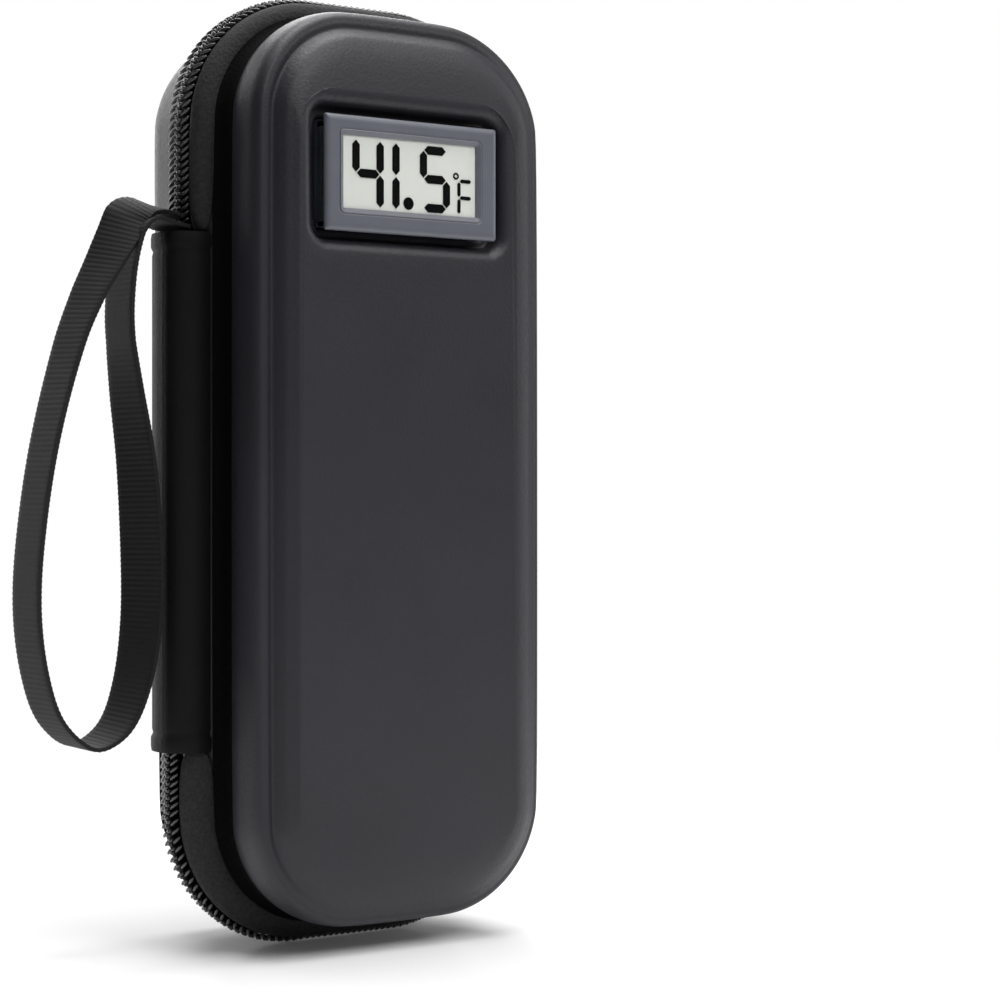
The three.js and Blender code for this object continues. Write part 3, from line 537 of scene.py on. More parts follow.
# %% [markdown]
# The profile of a shell starts at its raised panel. From there it falls over the panel's round edge into
# a narrow valley, rises to a soft ridge, turns down the wall, and goes through a groove out to the lip
# that the zipper is sewn to. Each place is a depth from the middle plane and an inset from the wall.

# %% Shell profile
SHELL_WALL = 3.2 * MM
INNER_EDGE = SHELL_WALL - 0.8 * MM
RIM_GAP = 0.35 * MM
WALL_LEAN = 0.5 * MM
SHOULDER_HEIGHT = 4.6 * MM
SHOULDER_INSET = 2.2 * MM
SHOULDER_STEPS = 5
VALLEY_DEPTH = 0.5 * MM
VALLEY = 5 * MM
PANEL_RISE = 3.3 * MM
PANEL_SLOPE = 3 * MM
WALL_START = 9.4 * MM
REAR_GROOVE = [(9.4, 0.0), (8.2, 0.7), (7.2, 0.8)]
FRONT_GROOVE = [
    (16.6, 0.38), (15.0, 0.45), (13.6, 0.7), (12.2, 1.1),
    (10.8, 1.55), (9.4, 1.95), (8.2, 2.2), (6.9, 2.35),
]


def shoulder(ridge, steps):
    """The round edge from the wall to the ridge."""
    edge = []
    for k in range(steps + 1):
        turn = pi / 2 * k / steps
        inset = WALL_LEAN + (SHOULDER_INSET - WALL_LEAN) * (1 - cos(turn))
        edge.append((ridge - SHOULDER_HEIGHT * (1 - sin(turn)), inset))
    return edge


def outer_profile(depth, lip, groove):
    """Depths and insets from the panel's edge to the rim."""
    ridge = depth - PANEL_RISE
    panel = [
        (depth, VALLEY + PANEL_SLOPE + 1.2 * MM),
        (depth - 0.06 * MM, VALLEY + PANEL_SLOPE + 0.2 * MM),
        (depth - 1.25 * MM, VALLEY + 0.68 * PANEL_SLOPE),
        (depth - 2.0 * MM, VALLEY + 0.45 * PANEL_SLOPE),
        (ridge + 0.45 * MM, VALLEY + 0.22 * PANEL_SLOPE),
        (ridge - VALLEY_DEPTH, VALLEY),
        (ridge - 0.8 * VALLEY_DEPTH, VALLEY - 0.6 * MM),
        (ridge - 0.25 * VALLEY_DEPTH, VALLEY - 1.15 * MM),
        (ridge, VALLEY - 1.6 * MM),
        (ridge, SHOULDER_INSET + 0.6 * MM),
    ]
    wall = [(place * MM, inset * MM) for place, inset in groove]
    return panel + shoulder(ridge, SHOULDER_STEPS)[::-1] + wall + [
        (5.8 * MM, -0.1 * lip),
        (3.6 * MM, -0.9 * lip),
        (2.6 * MM, -lip),
        (0.8 * MM, -lip),
        (RIM_GAP, -lip),
        (RIM_GAP, 0.4 * MM - lip),
        (RIM_GAP, SHELL_WALL - 1.2 * MM),
        (RIM_GAP, INNER_EDGE),
        (RIM_GAP + 0.6 * MM, INNER_EDGE),
    ]


def cavity(depth, offset):
    """Depths and insets of the inside, from the wall to the floor, moved in by an offset."""
    inside = SHELL_WALL + offset
    ridge = depth - inside - PANEL_RISE
    profile = [(WALL_START, inside)]
    profile += [(edge, inside + inset) for edge, inset in shoulder(ridge, 3)]
    profile.append((ridge, inside + VALLEY))
    profile.append((depth - inside - 0.3 * MM, inside + VALLEY + PANEL_SLOPE))
    profile.append((depth - inside, inside + VALLEY + PANEL_SLOPE + 0.8 * MM))
    return profile


FRONT_DEPTH = -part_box("front_shell")[0].y
REAR_DEPTH = shell_high.y
print("depths", round(FRONT_DEPTH / MM, 1), round(REAR_DEPTH / MM, 1), "mm")

# %% [markdown]
# Below the spine the zipper stands out at the lower corner, and the wall of the rear shell is drawn in
# behind it. The finished rings are moved along the outward direction of the wall to get that shape.

# %% Rear shell
PANEL_EASE = 12 * MM
SPINE_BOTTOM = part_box("lower_hem")[0].z
LOW_TUCK = 2.2 * MM
TUCK_START = SPINE_BOTTOM + 4 * MM
TUCK_FADE = 14 * MM
TUCK_WALL = 2.6 * MM
TUCK_DEPTH = 6 * MM


def wall_out(place):
    """Outward direction of the wall at a place, and how far inside the wall the place is."""
    side = WALL_WIDTH / 2 - WALL_RADIUS
    end = WALL_HEIGHT / 2 - WALL_RADIUS
    x = place.x - min(side, max(-side, place.x))
    z = place.z - MIDDLE - min(end, max(-end, place.z - MIDDLE))
    out = Vector((x, 0, z))
    return out.normalized(), WALL_RADIUS - out.length


def low_corner(place, out):
    """1 on the spine's side below the spine, falling to 0 round the lower corner."""
    return max(0, -out.x) if place.z < MIDDLE else 0


profile = outer_profile(REAR_DEPTH, LIP_STANDOUT, REAR_GROOVE) + cavity(REAR_DEPTH, 0)
profile.insert(0, (REAR_DEPTH, profile[0][1] + PANEL_EASE))
profile.append((REAR_DEPTH - SHELL_WALL, profile[-1][1] + PANEL_EASE / 2))
bm = bmesh.new()
loft(bm, [wall_ring(1, *pair) for pair in profile], caps=True)
for vert in bm.verts:
    out, inset = wall_out(vert.co)
    if inset < TUCK_WALL and vert.co.y > TUCK_DEPTH:
        fade = clamp((TUCK_START - vert.co.z) / TUCK_FADE)
        vert.co -= out * (LOW_TUCK * fade * low_corner(vert.co, out))
piece("rear_shell_moulding", bm, LEATHER, ["rear_shell"], "base", 2)

# %% [markdown]
# The front shell starts from the hole for the thermometer. Rings climb the soft side of the dish to the
# panel, and from there the row goes on as on the rear shell. The dish sits high on the panel, so the
# stretch between the dish and the panel's edge is long below and short above. The ridge and the valley
# are strong beside the spine and fade into one round edge at the bottom and on the right.

# %% Front shell
housing_low, housing_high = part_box("thermometer_housing")
DISPLAY_Z = (housing_low.z + housing_high.z) / 2
BEZEL = (housing_high.x - housing_low.x, housing_high.z - housing_low.z)
BEZEL_FRONT = housing_low.y
DISH_MARGIN = 1.2 * MM
DISH_RADIUS = 3.2 * MM
DISH_DEPTH = 4.5 * MM
FRONT_LIP = 1.6 * MM
HOLE_INSET = 1.2 * MM
HOLE_RADIUS = 1 * MM
DISH_PROFILE = [
    (4.5, -0.8), (4.4, -0.3), (3.6, 0.05), (2.4, 0.35),
    (1.3, 0.95), (0.55, 1.8), (0.14, 2.7), (0.0, 3.7),
]
BOSS_PROFILE = [(3.2, 6.2), (3.6, 5.5), (7.1, 3.6), (7.7, 2.9)]
CROWN = [(0.0, 9.9, 19), (0.12, 9.5, 14.5), (0.38, 8.9, 11), (0.75, 8.2, 9)]
RIDGE_LEFT = 0.95
RIDGE_RIGHT = 0.1
RIDGE_TOP = 0.75
RIDGE_BOTTOM = 0.05
RIDGE_INSET = 2.8 * MM
SIDE_START = 10 * MM
END_START = 9 * MM
END_FALL = 0.75 * MM
END_CURVE = 1.3
EDGE_DEPTH = 4.2 * MM
EDGE_INSETS = (2.5 * MM, 9.95 * MM)
RIGHT_GROW = 0.9 * MM
GROW_INSET = 11 * MM
GROW_FADE = 5 * MM
TOP_BEND = 172 * MM
TOP_FALL = 1.7


def dish_ring(behind, margin):
    """A ring of the dish, behind the panel's face and grown from the dish's floor."""
    grow = DISH_MARGIN + margin * MM
    return grown_ring(BEZEL, grow, DISH_RADIUS + margin * MM, behind * MM - FRONT_DEPTH, DISPLAY_Z)


def hole_ring(behind):
    return grown_ring(BEZEL, -HOLE_INSET, HOLE_RADIUS, behind - FRONT_DEPTH, DISPLAY_Z)


def crown_ring(fall, side, end):
    """A ring of the gently crowned panel, with its own insets at the sides and at the ends."""
    width, height = WALL_WIDTH - 2 * side * MM, WALL_HEIGHT - 2 * end * MM
    return width, height, WALL_RADIUS - (side + end) / 2 * MM, fall * MM - FRONT_DEPTH, MIDDLE


def ridge_share(out):
    """How much of the ridge and valley is left: most on the spine's side, hardly any at the bottom."""
    side = RIDGE_LEFT if out.x < 0 else RIDGE_RIGHT
    end = RIDGE_TOP if out.z > 0 else RIDGE_BOTTOM
    return side * out.x ** 2 + end * out.z ** 2


def plain_fall(out, inset, fall):
    """How far a plain round edge lies behind the panel's face, at the sides and at the ends."""
    side = PANEL_RISE * (max(0, SIDE_START - inset) / (SIDE_START - RIDGE_INSET)) ** 2
    end = fall
    if inset < END_START:
        curve = ((END_START - inset) / (END_START - RIDGE_INSET)) ** END_CURVE
        end = END_FALL + (PANEL_RISE - END_FALL) * curve
    return side * out.x ** 2 + end * out.z ** 2


def shape_edge(vert):
    """Eases the ridge and valley, widens the right edge and lets the top fall back."""
    out, inset = wall_out(vert.co)
    fall = FRONT_DEPTH + vert.co.y
    if fall < EDGE_DEPTH and EDGE_INSETS[0] < inset < EDGE_INSETS[1]:
        plain = plain_fall(out, inset, fall)
        vert.co.y = plain + (fall - plain) * ridge_share(out) - FRONT_DEPTH
    raised = -vert.co.y - WALL_START
    near = clamp((GROW_INSET - inset) / GROW_FADE)
    vert.co.x += RIGHT_GROW * max(0, out.x) * near * clamp(raised / GROW_FADE)
    reach = clamp(raised / (FRONT_DEPTH - WALL_START))
    vert.co.y += reach * TOP_FALL * max(0, vert.co.z - TOP_BEND) ** 2


profile = outer_profile(FRONT_DEPTH, FRONT_LIP, FRONT_GROOVE)[2:] + cavity(FRONT_DEPTH, 0)
rings = [hole_ring(DISH_DEPTH)]
rings += [dish_ring(*pair) for pair in DISH_PROFILE]
rings += [crown_ring(*place) for place in CROWN]
rings += [wall_ring(-1, *pair) for pair in profile]
rings += [dish_ring(*pair) for pair in BOSS_PROFILE]
rings += [hole_ring(DISH_DEPTH + SHELL_WALL), hole_ring(DISH_DEPTH)]
bm = bmesh.new()
loft(bm, rings)
for vert in bm.verts:
    shape_edge(vert)
piece("front_shell_moulding", bm, LEATHER, ["front_shell"], "lid", 2)

# %% [markdown]
# A thin brushed cloth lines each half. It follows the inside of the shell a little way off, so it uses
# the same rings once outside and once inside, with a folded edge at the rim. The lid's lining has a hole
# round the boss of the dish.

# %% Linings
LINING_GAP = 0.3 * MM
LINING_THICKNESS = 0.8 * MM
LINING_HOLE = [(4.3, 5.8), (3.5, 6.1)]
FOLD_HIGH = RIM_GAP + 0.4 * MM
FOLD_LOW = RIM_GAP + 0.8 * MM


def lining_rings(side, depth):
    far, near = LINING_GAP, LINING_GAP + LINING_THICKNESS
    insets = [INNER_EDGE + far, INNER_EDGE + (far + near) / 2, INNER_EDGE + near]
    fold = list(zip((FOLD_LOW, FOLD_HIGH, FOLD_LOW), insets))
    profile = cavity(depth, far)[::-1] + fold + cavity(depth, near)
    return [wall_ring(side, *pair) for pair in profile]


hole = [dish_ring(*pair) for pair in LINING_HOLE]
rear_rings = lining_rings(1, REAR_DEPTH)
front_rings = hole[1:] + lining_rings(-1, FRONT_DEPTH) + hole
lofted("rear_lining_cloth", rear_rings, LINING, ["rear_lining"], "base", caps=True, levels=2)
lofted("front_lining_cloth", front_rings, LINING, ["front_lining"], "lid", levels=2)

# %% [markdown]
# ## The zipper
#
# A woven tape is sewn over each lip, and the two rows of the coil run along the tapes' edges. A tape is
# again a row of rings, closed into a band, and its stretch behind the spine is cut away.

# %% Zipper tapes
HALVES = [("front", -1, "lid"), ("rear", 1, "base")]
SPINE_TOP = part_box("upper_hem")[1].z
SPINE_OVERLAP = 2 * MM
LOW_BULGE = 2.7 * MM
REAR_EXTRA = 0.8 * MM
TAPE_EDGE = 6.3 * MM
TAPE_HOLD = 2.6 * MM
TAPE_SECTION = [
    (1.3, 3.5), (2.6, 3.65), (3.8, 3.6), (4.9, 3.1), (5.7, 2.3), (6.15, 1.2), (6.3, 0.2),
    (6.15, -0.45), (5.6, -0.1), (5.1, 1.3), (4.1, 2.3), (2.7, 2.75), (1.3, 2.7), (1.3, 3.5),
]


def cut(bm, place, normal, clear=False):
    """Cuts a mesh along a plane; clear takes away what lies in front of it."""
    everything = bm.verts[:] + bm.edges[:] + bm.faces[:]
    bmesh.ops.bisect_plane(bm, geom=everything, plane_co=place, plane_no=normal, clear_outer=clear)


def cut_spine(bm, top, bottom):
    """Takes away a band's stretch behind the spine and closes the two ends."""
    for height in (top, bottom):
        cut(bm, (0, 0, height), (0, 0, 1))
    behind = []
    for face in bm.faces:
        centre = face.calc_center_median()
        if centre.x < 0 and bottom < centre.z < top:
            behind.append(face)
    bmesh.ops.delete(bm, geom=behind, context="FACES")
    open_edges = [edge for edge in bm.edges if edge.is_boundary]
    bmesh.ops.holes_fill(bm, edges=open_edges, sides=0)


for half, side, body in HALVES:
    bm = bmesh.new()
    loft(bm, [wall_ring(side, depth * MM, -out * MM) for depth, out in TAPE_SECTION])
    bulge = LOW_BULGE + (REAR_EXTRA if side > 0 else 0)
    for vert in bm.verts:
        out = wall_out(vert.co)[0]
        near = clamp((TAPE_EDGE - abs(vert.co.y)) / TAPE_HOLD)
        vert.co += out * (bulge * near * low_corner(vert.co, out))
    cut_spine(bm, SPINE_TOP - SPINE_OVERLAP, SPINE_BOTTOM + SPINE_OVERLAP)
    bmesh.ops.recalc_face_normals(bm, faces=bm.faces)
    piece(half + "_tape_weave", bm, TAPE, [half + "_zipper_tape"], body, 2)

# %% [markdown]
# A strip of near-black cloth is laid in the lid's groove, from the tape's edge up to the wall. It is painted
# shade: it stands in for the shade that falls deep in the groove. It is a band like the tapes, and lies a
# little proud of the groove.

# %% Painted groove shade
GROOVE_SHADE_SECTION = [
    (12.2, 1.0), (10.8, 1.33), (9.4, 1.55), (8.2, 1.55), (7.2, 1.25), (6.6, 0.7),
    (6.3, 0.1), (6.0, -0.35), (5.6, 0.1), (5.9, 0.9), (6.5, 1.7), (7.2, 2.3),
    (8.2, 2.4), (9.4, 2.25), (10.8, 1.85), (12.2, 1.4), (12.2, 1.0),
]
band = [wall_ring(-1, depth * MM, inset * MM) for depth, inset in GROOVE_SHADE_SECTION]
# The near-black band is painted shade in the groove, not a real part of the case.
lofted("front_groove_painted_shade", band, PAINTED_GROOVE_SHADE, (), "lid", levels=2, slot="tape_cloth")

# %% [markdown]
# Each turn of the coil shows as a slender slanted bar with a round head in the middle of the chain. One
# tooth is two small spheres, stretched and placed by a matrix, and a loop sets them round the case. The
# heads of the two rows lie between each other, and each row slopes down to its tape.

# %% Zipper coil
TOOTH_PITCH = 1.6 * MM
TOOTH_SLANT = radians(34)
ROW_SLOPE = radians(15)
CHAIN_SHIFT = 1.3 * MM
CHAIN_TILT = radians(12)
CHAIN_LIFT = 0.3 * MM
LOW_FLAT = 0.6
BAR = (1.6 * MM, 0.4 * MM, 0.5 * MM)
BAR_OUT = 4.3 * MM
BAR_SIDE = 2.05 * MM
HEAD = (0.66 * MM, 0.56 * MM, 0.7 * MM)
HEAD_OUT = 4.25 * MM
HEAD_SIDE = 0.3 * MM
FRONTWARD = Vector((0, -1, 0))
WALL_LENGTH = 2 * (WALL_WIDTH + WALL_HEIGHT) + (2 * pi - 8) * WALL_RADIUS


def round_walk(distance):
    """Place and outward direction on the wall, from the middle of the left side upwards."""
    side, top = WALL_HEIGHT - 2 * WALL_RADIUS, WALL_WIDTH - 2 * WALL_RADIUS
    place, out = Vector((-top / 2, 0, MIDDLE)), Vector((-1, 0, 0))
    for straight in (side / 2, top, side, top, side / 2):
        step = min(distance, straight)
        place += Matrix.Rotation(pi / 2, 3, "Y") @ out * step
        turn = min(distance - step, pi / 2 * WALL_RADIUS)
        out = Matrix.Rotation(turn / WALL_RADIUS, 3, "Y") @ out
        distance -= step + turn
    return place + out * WALL_RADIUS, out


BEAD = bpy.data.meshes.new("bead")
bm = bmesh.new()
bmesh.ops.create_uvsphere(bm, u_segments=8, v_segments=5, radius=1)
bm.to_mesh(BEAD)
bm.free()


def set_bead(bm, centre, axes, slant, size):
    """Adds a stretched and turned bead."""
    across, along, up = axes
    turned = Matrix.Rotation(slant, 3, up)
    basis = Matrix((turned @ across * size[0], turned @ along * size[1], up * size[2])).transposed()
    copy = BEAD.copy()
    copy.transform(Matrix.Translation(centre) @ basis.to_4x4())
    bm.from_mesh(copy)
    bpy.data.meshes.remove(copy)


for half, side, body in HALVES:
    bm = bmesh.new()
    sideways = FRONTWARD * -side
    distance = SPINE_TOP - MIDDLE + (1 - side) / 4 * TOOTH_PITCH
    while distance < WALL_LENGTH - (MIDDLE - SPINE_BOTTOM):
        place, out = round_walk(distance)
        spine_side, low = max(0, -out.x), low_corner(place, out)
        place += out * (CHAIN_LIFT * spine_side + LOW_BULGE * low) - FRONTWARD * (CHAIN_SHIFT * spine_side)
        slope = ROW_SLOPE - CHAIN_TILT * (spine_side - LOW_FLAT * low) * (1 + side)
        across = sideways * cos(slope) - out * sin(slope)
        up = out * cos(slope) + sideways * sin(slope)
        axes = (across, up.cross(across), up)
        set_bead(bm, place + out * BAR_OUT + across * BAR_SIDE, axes, TOOTH_SLANT, BAR)
        set_bead(bm, place + out * HEAD_OUT + across * HEAD_SIDE, axes, 0, HEAD)
        distance += TOOTH_PITCH
    piece(half + "_coil_teeth", bm, COIL, [half + "_zipper_coil"], body)

# %% [markdown]
# ## The spine
#
# A strip of the same covering bridges the two halves and hides the zipper's ends. It folds in two places
# when the lid opens, so it is made as two halves that meet in the middle, one on the side of the base
# and one on the side of the lid. Each is a grid rolled over the bulge, and
# the last few rows at each end stand proud as the hem.

# %% Spine
REAR_SECTION = [
    (0.0, -48.6), (3.0, -48.5), (6.0, -47.7), (8.5, -46.1), (10.4, -43.5), (11.5, -40.6), (11.8, -39.1),
]
FRONT_SECTION = [
    (0.0, -48.6), (2.2, -48.3), (4.0, -47.3), (5.4, -45.6),
    (6.1, -43.7), (6.2, -42.0), (5.9, -40.7), (5.5, -39.5),
]
SPINE_COLUMNS = 20
SPINE_ROWS = 116
SPINE_THICKNESS = 0.9 * MM
HEM_HEIGHT = 3.6 * MM
HEM_PROUD = 0.26 * MM
HEM_FOOT = 0.35
HEM_EDGE = 0.5 * MM
HEM_TUCK = 0.25 * MM


def hem_rise(z):
    """How far the skin stands proud at a height: raised at both hems, with a tuck beside them."""
    from_end = min(z - SPINE_BOTTOM, SPINE_TOP - z)
    if from_end > HEM_HEIGHT + 2 * HEM_EDGE:
        return 0.0
    if from_end > HEM_HEIGHT:
        return -HEM_TUCK * sin(pi * (from_end - HEM_HEIGHT) / (2 * HEM_EDGE))
    crown = 1 - (2 * from_end / HEM_HEIGHT - 1) ** 6
    return HEM_PROUD * (HEM_FOOT + (1 - HEM_FOOT) * crown)


def spine_half(name, side, section, stands_for):
    bm = bmesh.new()
    grid = bmesh.ops.create_grid(bm, x_segments=SPINE_COLUMNS, y_segments=SPINE_ROWS, size=0.5)["verts"]
    line = smooth_route([Vector((x, side * y, 0)) * MM for y, x in section], SPINE_COLUMNS)[0]
    for vert in grid:
        k = round((vert.co.x + 0.5) * SPINE_COLUMNS)
        z = SPINE_BOTTOM + (vert.co.y + 0.5) * (SPINE_TOP - SPINE_BOTTOM)
        along = line[min(k + 1, SPINE_COLUMNS)] - line[max(k - 1, 0)]
        out = along.cross(Vector((0, 0, -side))).normalized()
        vert.co = line[k] + out * hem_rise(z) + Vector((0, 0, z))
    bmesh.ops.recalc_face_normals(bm, faces=bm.faces)
    if sum(face.normal.x for face in bm.faces) > 0:
        bmesh.ops.reverse_faces(bm, faces=bm.faces)
    bmesh.ops.solidify(bm, geom=bm.faces[:], thickness=SPINE_THICKNESS)
    return piece(name, bm, SOFT_LEATHER, stands_for, sharp=60, slot="leather")


rear_nodes = ["rear_spine_welt", "spine_band"]
front_nodes = ["front_spine_welt", "upper_hem", "lower_hem"]
rear_half = spine_half("spine_rear_half", 1, REAR_SECTION, rear_nodes)
front_half = spine_half("spine_front_half", -1, FRONT_SECTION, front_nodes)
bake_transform(rear_half)
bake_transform(front_half)

# %% [markdown]
# ## The thermometer
#
# A panel thermometer snaps into the dish. The housing comes from the model: a copy of its mesh is merged,
# its flat faces are joined again, and its sharp edges get a small bevel, as a moulded edge has.

# %% Softened copies
COPY_MERGE = 0.005 * MM
FLAT_ANGLE = radians(1)
SHARP_ANGLE = radians(30)


def softened(node, width):
    """A bmesh copy of a model piece, with merged points and bevelled edges."""
    bm = bmesh.new()
    bm.from_mesh(nodes[node].data)
    bmesh.ops.remove_doubles(bm, verts=bm.verts, dist=COPY_MERGE)
    bmesh.ops.dissolve_limit(bm, angle_limit=FLAT_ANGLE, verts=bm.verts, edges=bm.edges)
    sharp = [edge for edge in bm.edges if edge.is_manifold and edge.calc_face_angle() > SHARP_ANGLE]
    rounded(bm, sharp, width, affect="EDGES", segments=2, clamp_overlap=True)
    return bm


SLATE = plain_finish(
    "slate_plastic",
    0.5,
    colours=(tint(78, 81, 89), tint(88, 91, 99)),
    rough=(0.36, 0.14),
    fine=(0.25 * MM, 2),
    broad=(9 * MM, 2),
    blend=0.0,
    relief=(0.012 * MM, 0.6),
)
print("plastic finish:", SLATE.name)

# %% [markdown]
# The bezel is built from rings too: a round edge outside, a flat face, a fine rim round the opening, and
# a slope that goes down to the display. The opening lies a little left of the bezel's middle.

# %% Bezel
VIEW = (36.2 * MM, 16.2 * MM)
VIEW_RADIUS = 0.4 * MM
VIEW_ROUNDING = 0.75
VIEW_RISE = 0.3 * MM
VIEW_Z = DISPLAY_Z + VIEW_RISE
BEZEL_RADIUS = 0.6 * MM
BEZEL_DEPTH = 4.6
BEZEL_SHIFT = 0.5 * MM
SHIFT_FROM = VIEW[0] / 2 + 2.8 * MM
BEZEL_OUTSIDE = [
    (BEZEL_DEPTH, 3.0), (1.9, 3.0), (1.7, 1.8), (1.5, 0.6), (1.15, 0.4),
    (0.65, 0.5), (0.3, 0.78), (0.09, 1.2), (0.0, 1.7), (0.0, 2.1),
]
BEZEL_INSIDE = [
    (0.0, 1.7), (0.0, 1.36), (0.12, 1.26), (0.12, 1.2), (-0.06, 1.1), (-0.12, 0.96),
    (-0.04, 0.82), (0.3, 0.3), (0.42, 0.1), (0.5, 0.0), (0.8, 0.0), (0.82, 2.2),
]
BEZEL_BACK = [(BEZEL_DEPTH, 3.3), (BEZEL_DEPTH, 3.0)]


def bezel_ring(behind, inset):
    return grown_ring(BEZEL, -inset * MM, BEZEL_RADIUS, BEZEL_FRONT + behind * MM, DISPLAY_Z)


def view_ring(behind, margin):
    radius = VIEW_RADIUS + VIEW_ROUNDING * margin * MM
    return grown_ring(VIEW, margin * MM, radius, BEZEL_FRONT + behind * MM, VIEW_Z)


rings = [bezel_ring(*pair) for pair in BEZEL_OUTSIDE]
rings += [view_ring(*pair) for pair in BEZEL_INSIDE]
rings += [bezel_ring(*pair) for pair in BEZEL_BACK]
bm = bmesh.new()
loft(bm, rings)
rim = [vert for vert in bm.verts if abs(vert.co.x) > SHIFT_FROM]
bmesh.ops.translate(bm, vec=(BEZEL_SHIFT, 0, 0), verts=rim)
piece("thermometer_bezel", bm, SLATE, ["thermometer_housing"], "lid", sharp=50)

bm = softened("thermometer_housing", 0.15 * MM)
cut(bm, (0, BEZEL_FRONT + BEZEL_DEPTH * MM, 0), (0, -1, 0), clear=True)
piece("thermometer_body", bm, SLATE, body="lid", sharp=40)

# %% [markdown]
# ## The display
#
# A liquid crystal display is a pale grey-green plate with black bars. Each bar is a hexagon that is
# stretched between two places, and a digit is a choice from seven bars. They have the usual letters:
# a at the top, on clockwise to f, and g in the middle.

# %% Display finishes
DISPLAY = plain_finish(
    "display_glass",
    0.3,
    colours=(tint(201, 204, 198), tint(212, 214, 208)),
    rough=(0.3, 0.1),
    fine=(0.2 * MM, 2),
    broad=(12 * MM, 2),
    blend=0.3,
)
INK = plain_finish(
    "display_ink",
    0.05,
    colours=(tint(4, 4, 5), tint(9, 9, 10)),
    rough=(0.4, 0.1),
    fine=(3 * MM,),
)

finish = Finish("clear_plastic", Roughness=0.03)
tree = finish.tree
see = tree.nodes.new("ShaderNodeBsdfTransparent")
mixed = tree.nodes.new("ShaderNodeMixShader")
edge = finish.node("LayerWeight", {}, {"Blend": 0.12}, "Fresnel")
finish.feed(mixed.inputs[0], edge * 0.3)
tree.links.new(see.outputs[0], mixed.inputs[1])
tree.links.new(finish.shader.outputs[0], mixed.inputs[2])
tree.links.new(mixed.outputs[0], tree.nodes["Material Output"].inputs["Surface"])
CLEAR = finish.material
print("display finishes:", DISPLAY.name, INK.name, CLEAR.name)

# %% Display plate
PANE_BEHIND = 0.6
PANE_EDGE = [(0.0, 0.0), (0.03, 0.1), (0.16, 0.1)]
PLATE_BEHIND = 0.84
PLATE_FRONT = BEZEL_FRONT + PLATE_BEHIND * MM
PLATE_THICKNESS = (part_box("lcd_panel")[1].y - PLATE_FRONT) / MM
PLATE_EDGE = [(0.0, 0.55), (0.0, 0.75), (0.15, 0.9), (PLATE_THICKNESS, 0.9)]


def display_layer(name, behind, edge, material, node):
    rings = [view_ring(behind + depth, grow) for depth, grow in edge]
    lofted(name, rings, material, [node], "lid", caps=True, sharp=40)


display_layer("display_pane", PANE_BEHIND, PANE_EDGE, CLEAR, "display_window")
display_layer("display_plate", PLATE_BEHIND, PLATE_EDGE, DISPLAY, "lcd_panel")

# %% Reading
INK_DEPTH = 0.06 * MM
INK_Y = PLATE_FRONT - INK_DEPTH
BAR_WIDTH = 1.95 * MM
BAR_GAP = 0.22 * MM
UNIT_WIDTH = 0.85 * MM
DOT_PLACE = (0.487, 0.13)
DOT_RADIUS = 1.4 * MM
DEGREE_WIDTH = 0.42 * MM
DEGREE = [(0.849, 0.614), (0.871, 0.566), (0.849, 0.518), (0.827, 0.566), (0.849, 0.614)]
BARS = {
    "a": ((0, 1), (1, 1)),
    "b": ((1, 0.5), (1, 1)),
    "c": ((1, 0), (1, 0.5)),
    "d": ((0, 0), (1, 0)),
    "e": ((0, 0), (0, 0.5)),
    "f": ((0, 0.5), (0, 1)),
    "g": ((0, 0.5), (1, 0.5)),
}
LIT = {"4": "bcfg", "1": "bc", "5": "acdfg", "F": "aefg"}
SIGNS = [
    ("4", (0.097, 0.03), (0.275, 0.957), BAR_WIDTH),
    ("1", (0.2, 0.03), (0.393, 0.957), BAR_WIDTH),
    ("5", (0.6, 0.09), (0.776, 0.891), BAR_WIDTH),
    ("F", (0.872, 0.03), (0.972, 0.5), UNIT_WIDTH),
]


def on_display(u, v):
    """A place on the display from shares of its width and height, counted from the lower left."""
    return Vector(((u - 0.5) * VIEW[0], INK_Y, VIEW_Z + (v - 0.5) * VIEW[1]))


def ink_bar(bm, start, end, width, gap=BAR_GAP):
    """A stretched hexagon between two places on the display."""
    along = end - start
    half = along.length / 2 - gap
    tips = Matrix.Rotation(pi / 6, 4, "Z")
    disc = bmesh.ops.create_circle(bm, cap_ends=True, segments=6, radius=width / 2, matrix=tips)["verts"]
    for vert in disc:
        vert.co.y *= 1 / sin(pi / 3)
        vert.co.x *= 2
        vert.co.x += half - width if vert.co.x > 0 else width - half
    angle = Vector((along.x, along.z)).angle_signed(Vector((1, 0)), 0)
    turn = Matrix.Rotation(pi / 2, 4, "X") @ Matrix.Rotation(angle, 4, "Z")
    bmesh.ops.transform(bm, matrix=Matrix.Translation((start + end) / 2) @ turn, verts=disc)


bm = bmesh.new()
for sign, (left, bottom), (right, top), width in SIGNS:
    for letter in LIT[sign]:
        ends = []
        for u, v in BARS[letter]:
            ends.append(on_display(left + u * (right - left), bottom + v * (top - bottom)))
        ink_bar(bm, *ends, width)
dot = Matrix.Translation(on_display(*DOT_PLACE)) @ Matrix.Rotation(pi / 2, 4, "X")
bmesh.ops.create_circle(bm, cap_ends=True, segments=20, radius=DOT_RADIUS, matrix=dot)
ring = [on_display(*place) for place in DEGREE]
for start, end in zip(ring, ring[1:]):
    ink_bar(bm, start, end, DEGREE_WIDTH, 0)
bmesh.ops.solidify(bm, geom=bm.faces[:], thickness=-INK_DEPTH)
bmesh.ops.recalc_face_normals(bm, faces=bm.faces)
piece("display_reading", bm, INK, body="lid", sharp=30, slot="display_glass")

# %% [markdown]
# ## Inside and behind the thermometer
#
# Behind the display lie a circuit board, two button cells and the spring contact that joins them. A back
# plate with a sliding door closes the housing, and the tip of the sensor stands out of it. Their shapes
# come from the model with softened edges, and each gets its own finish.

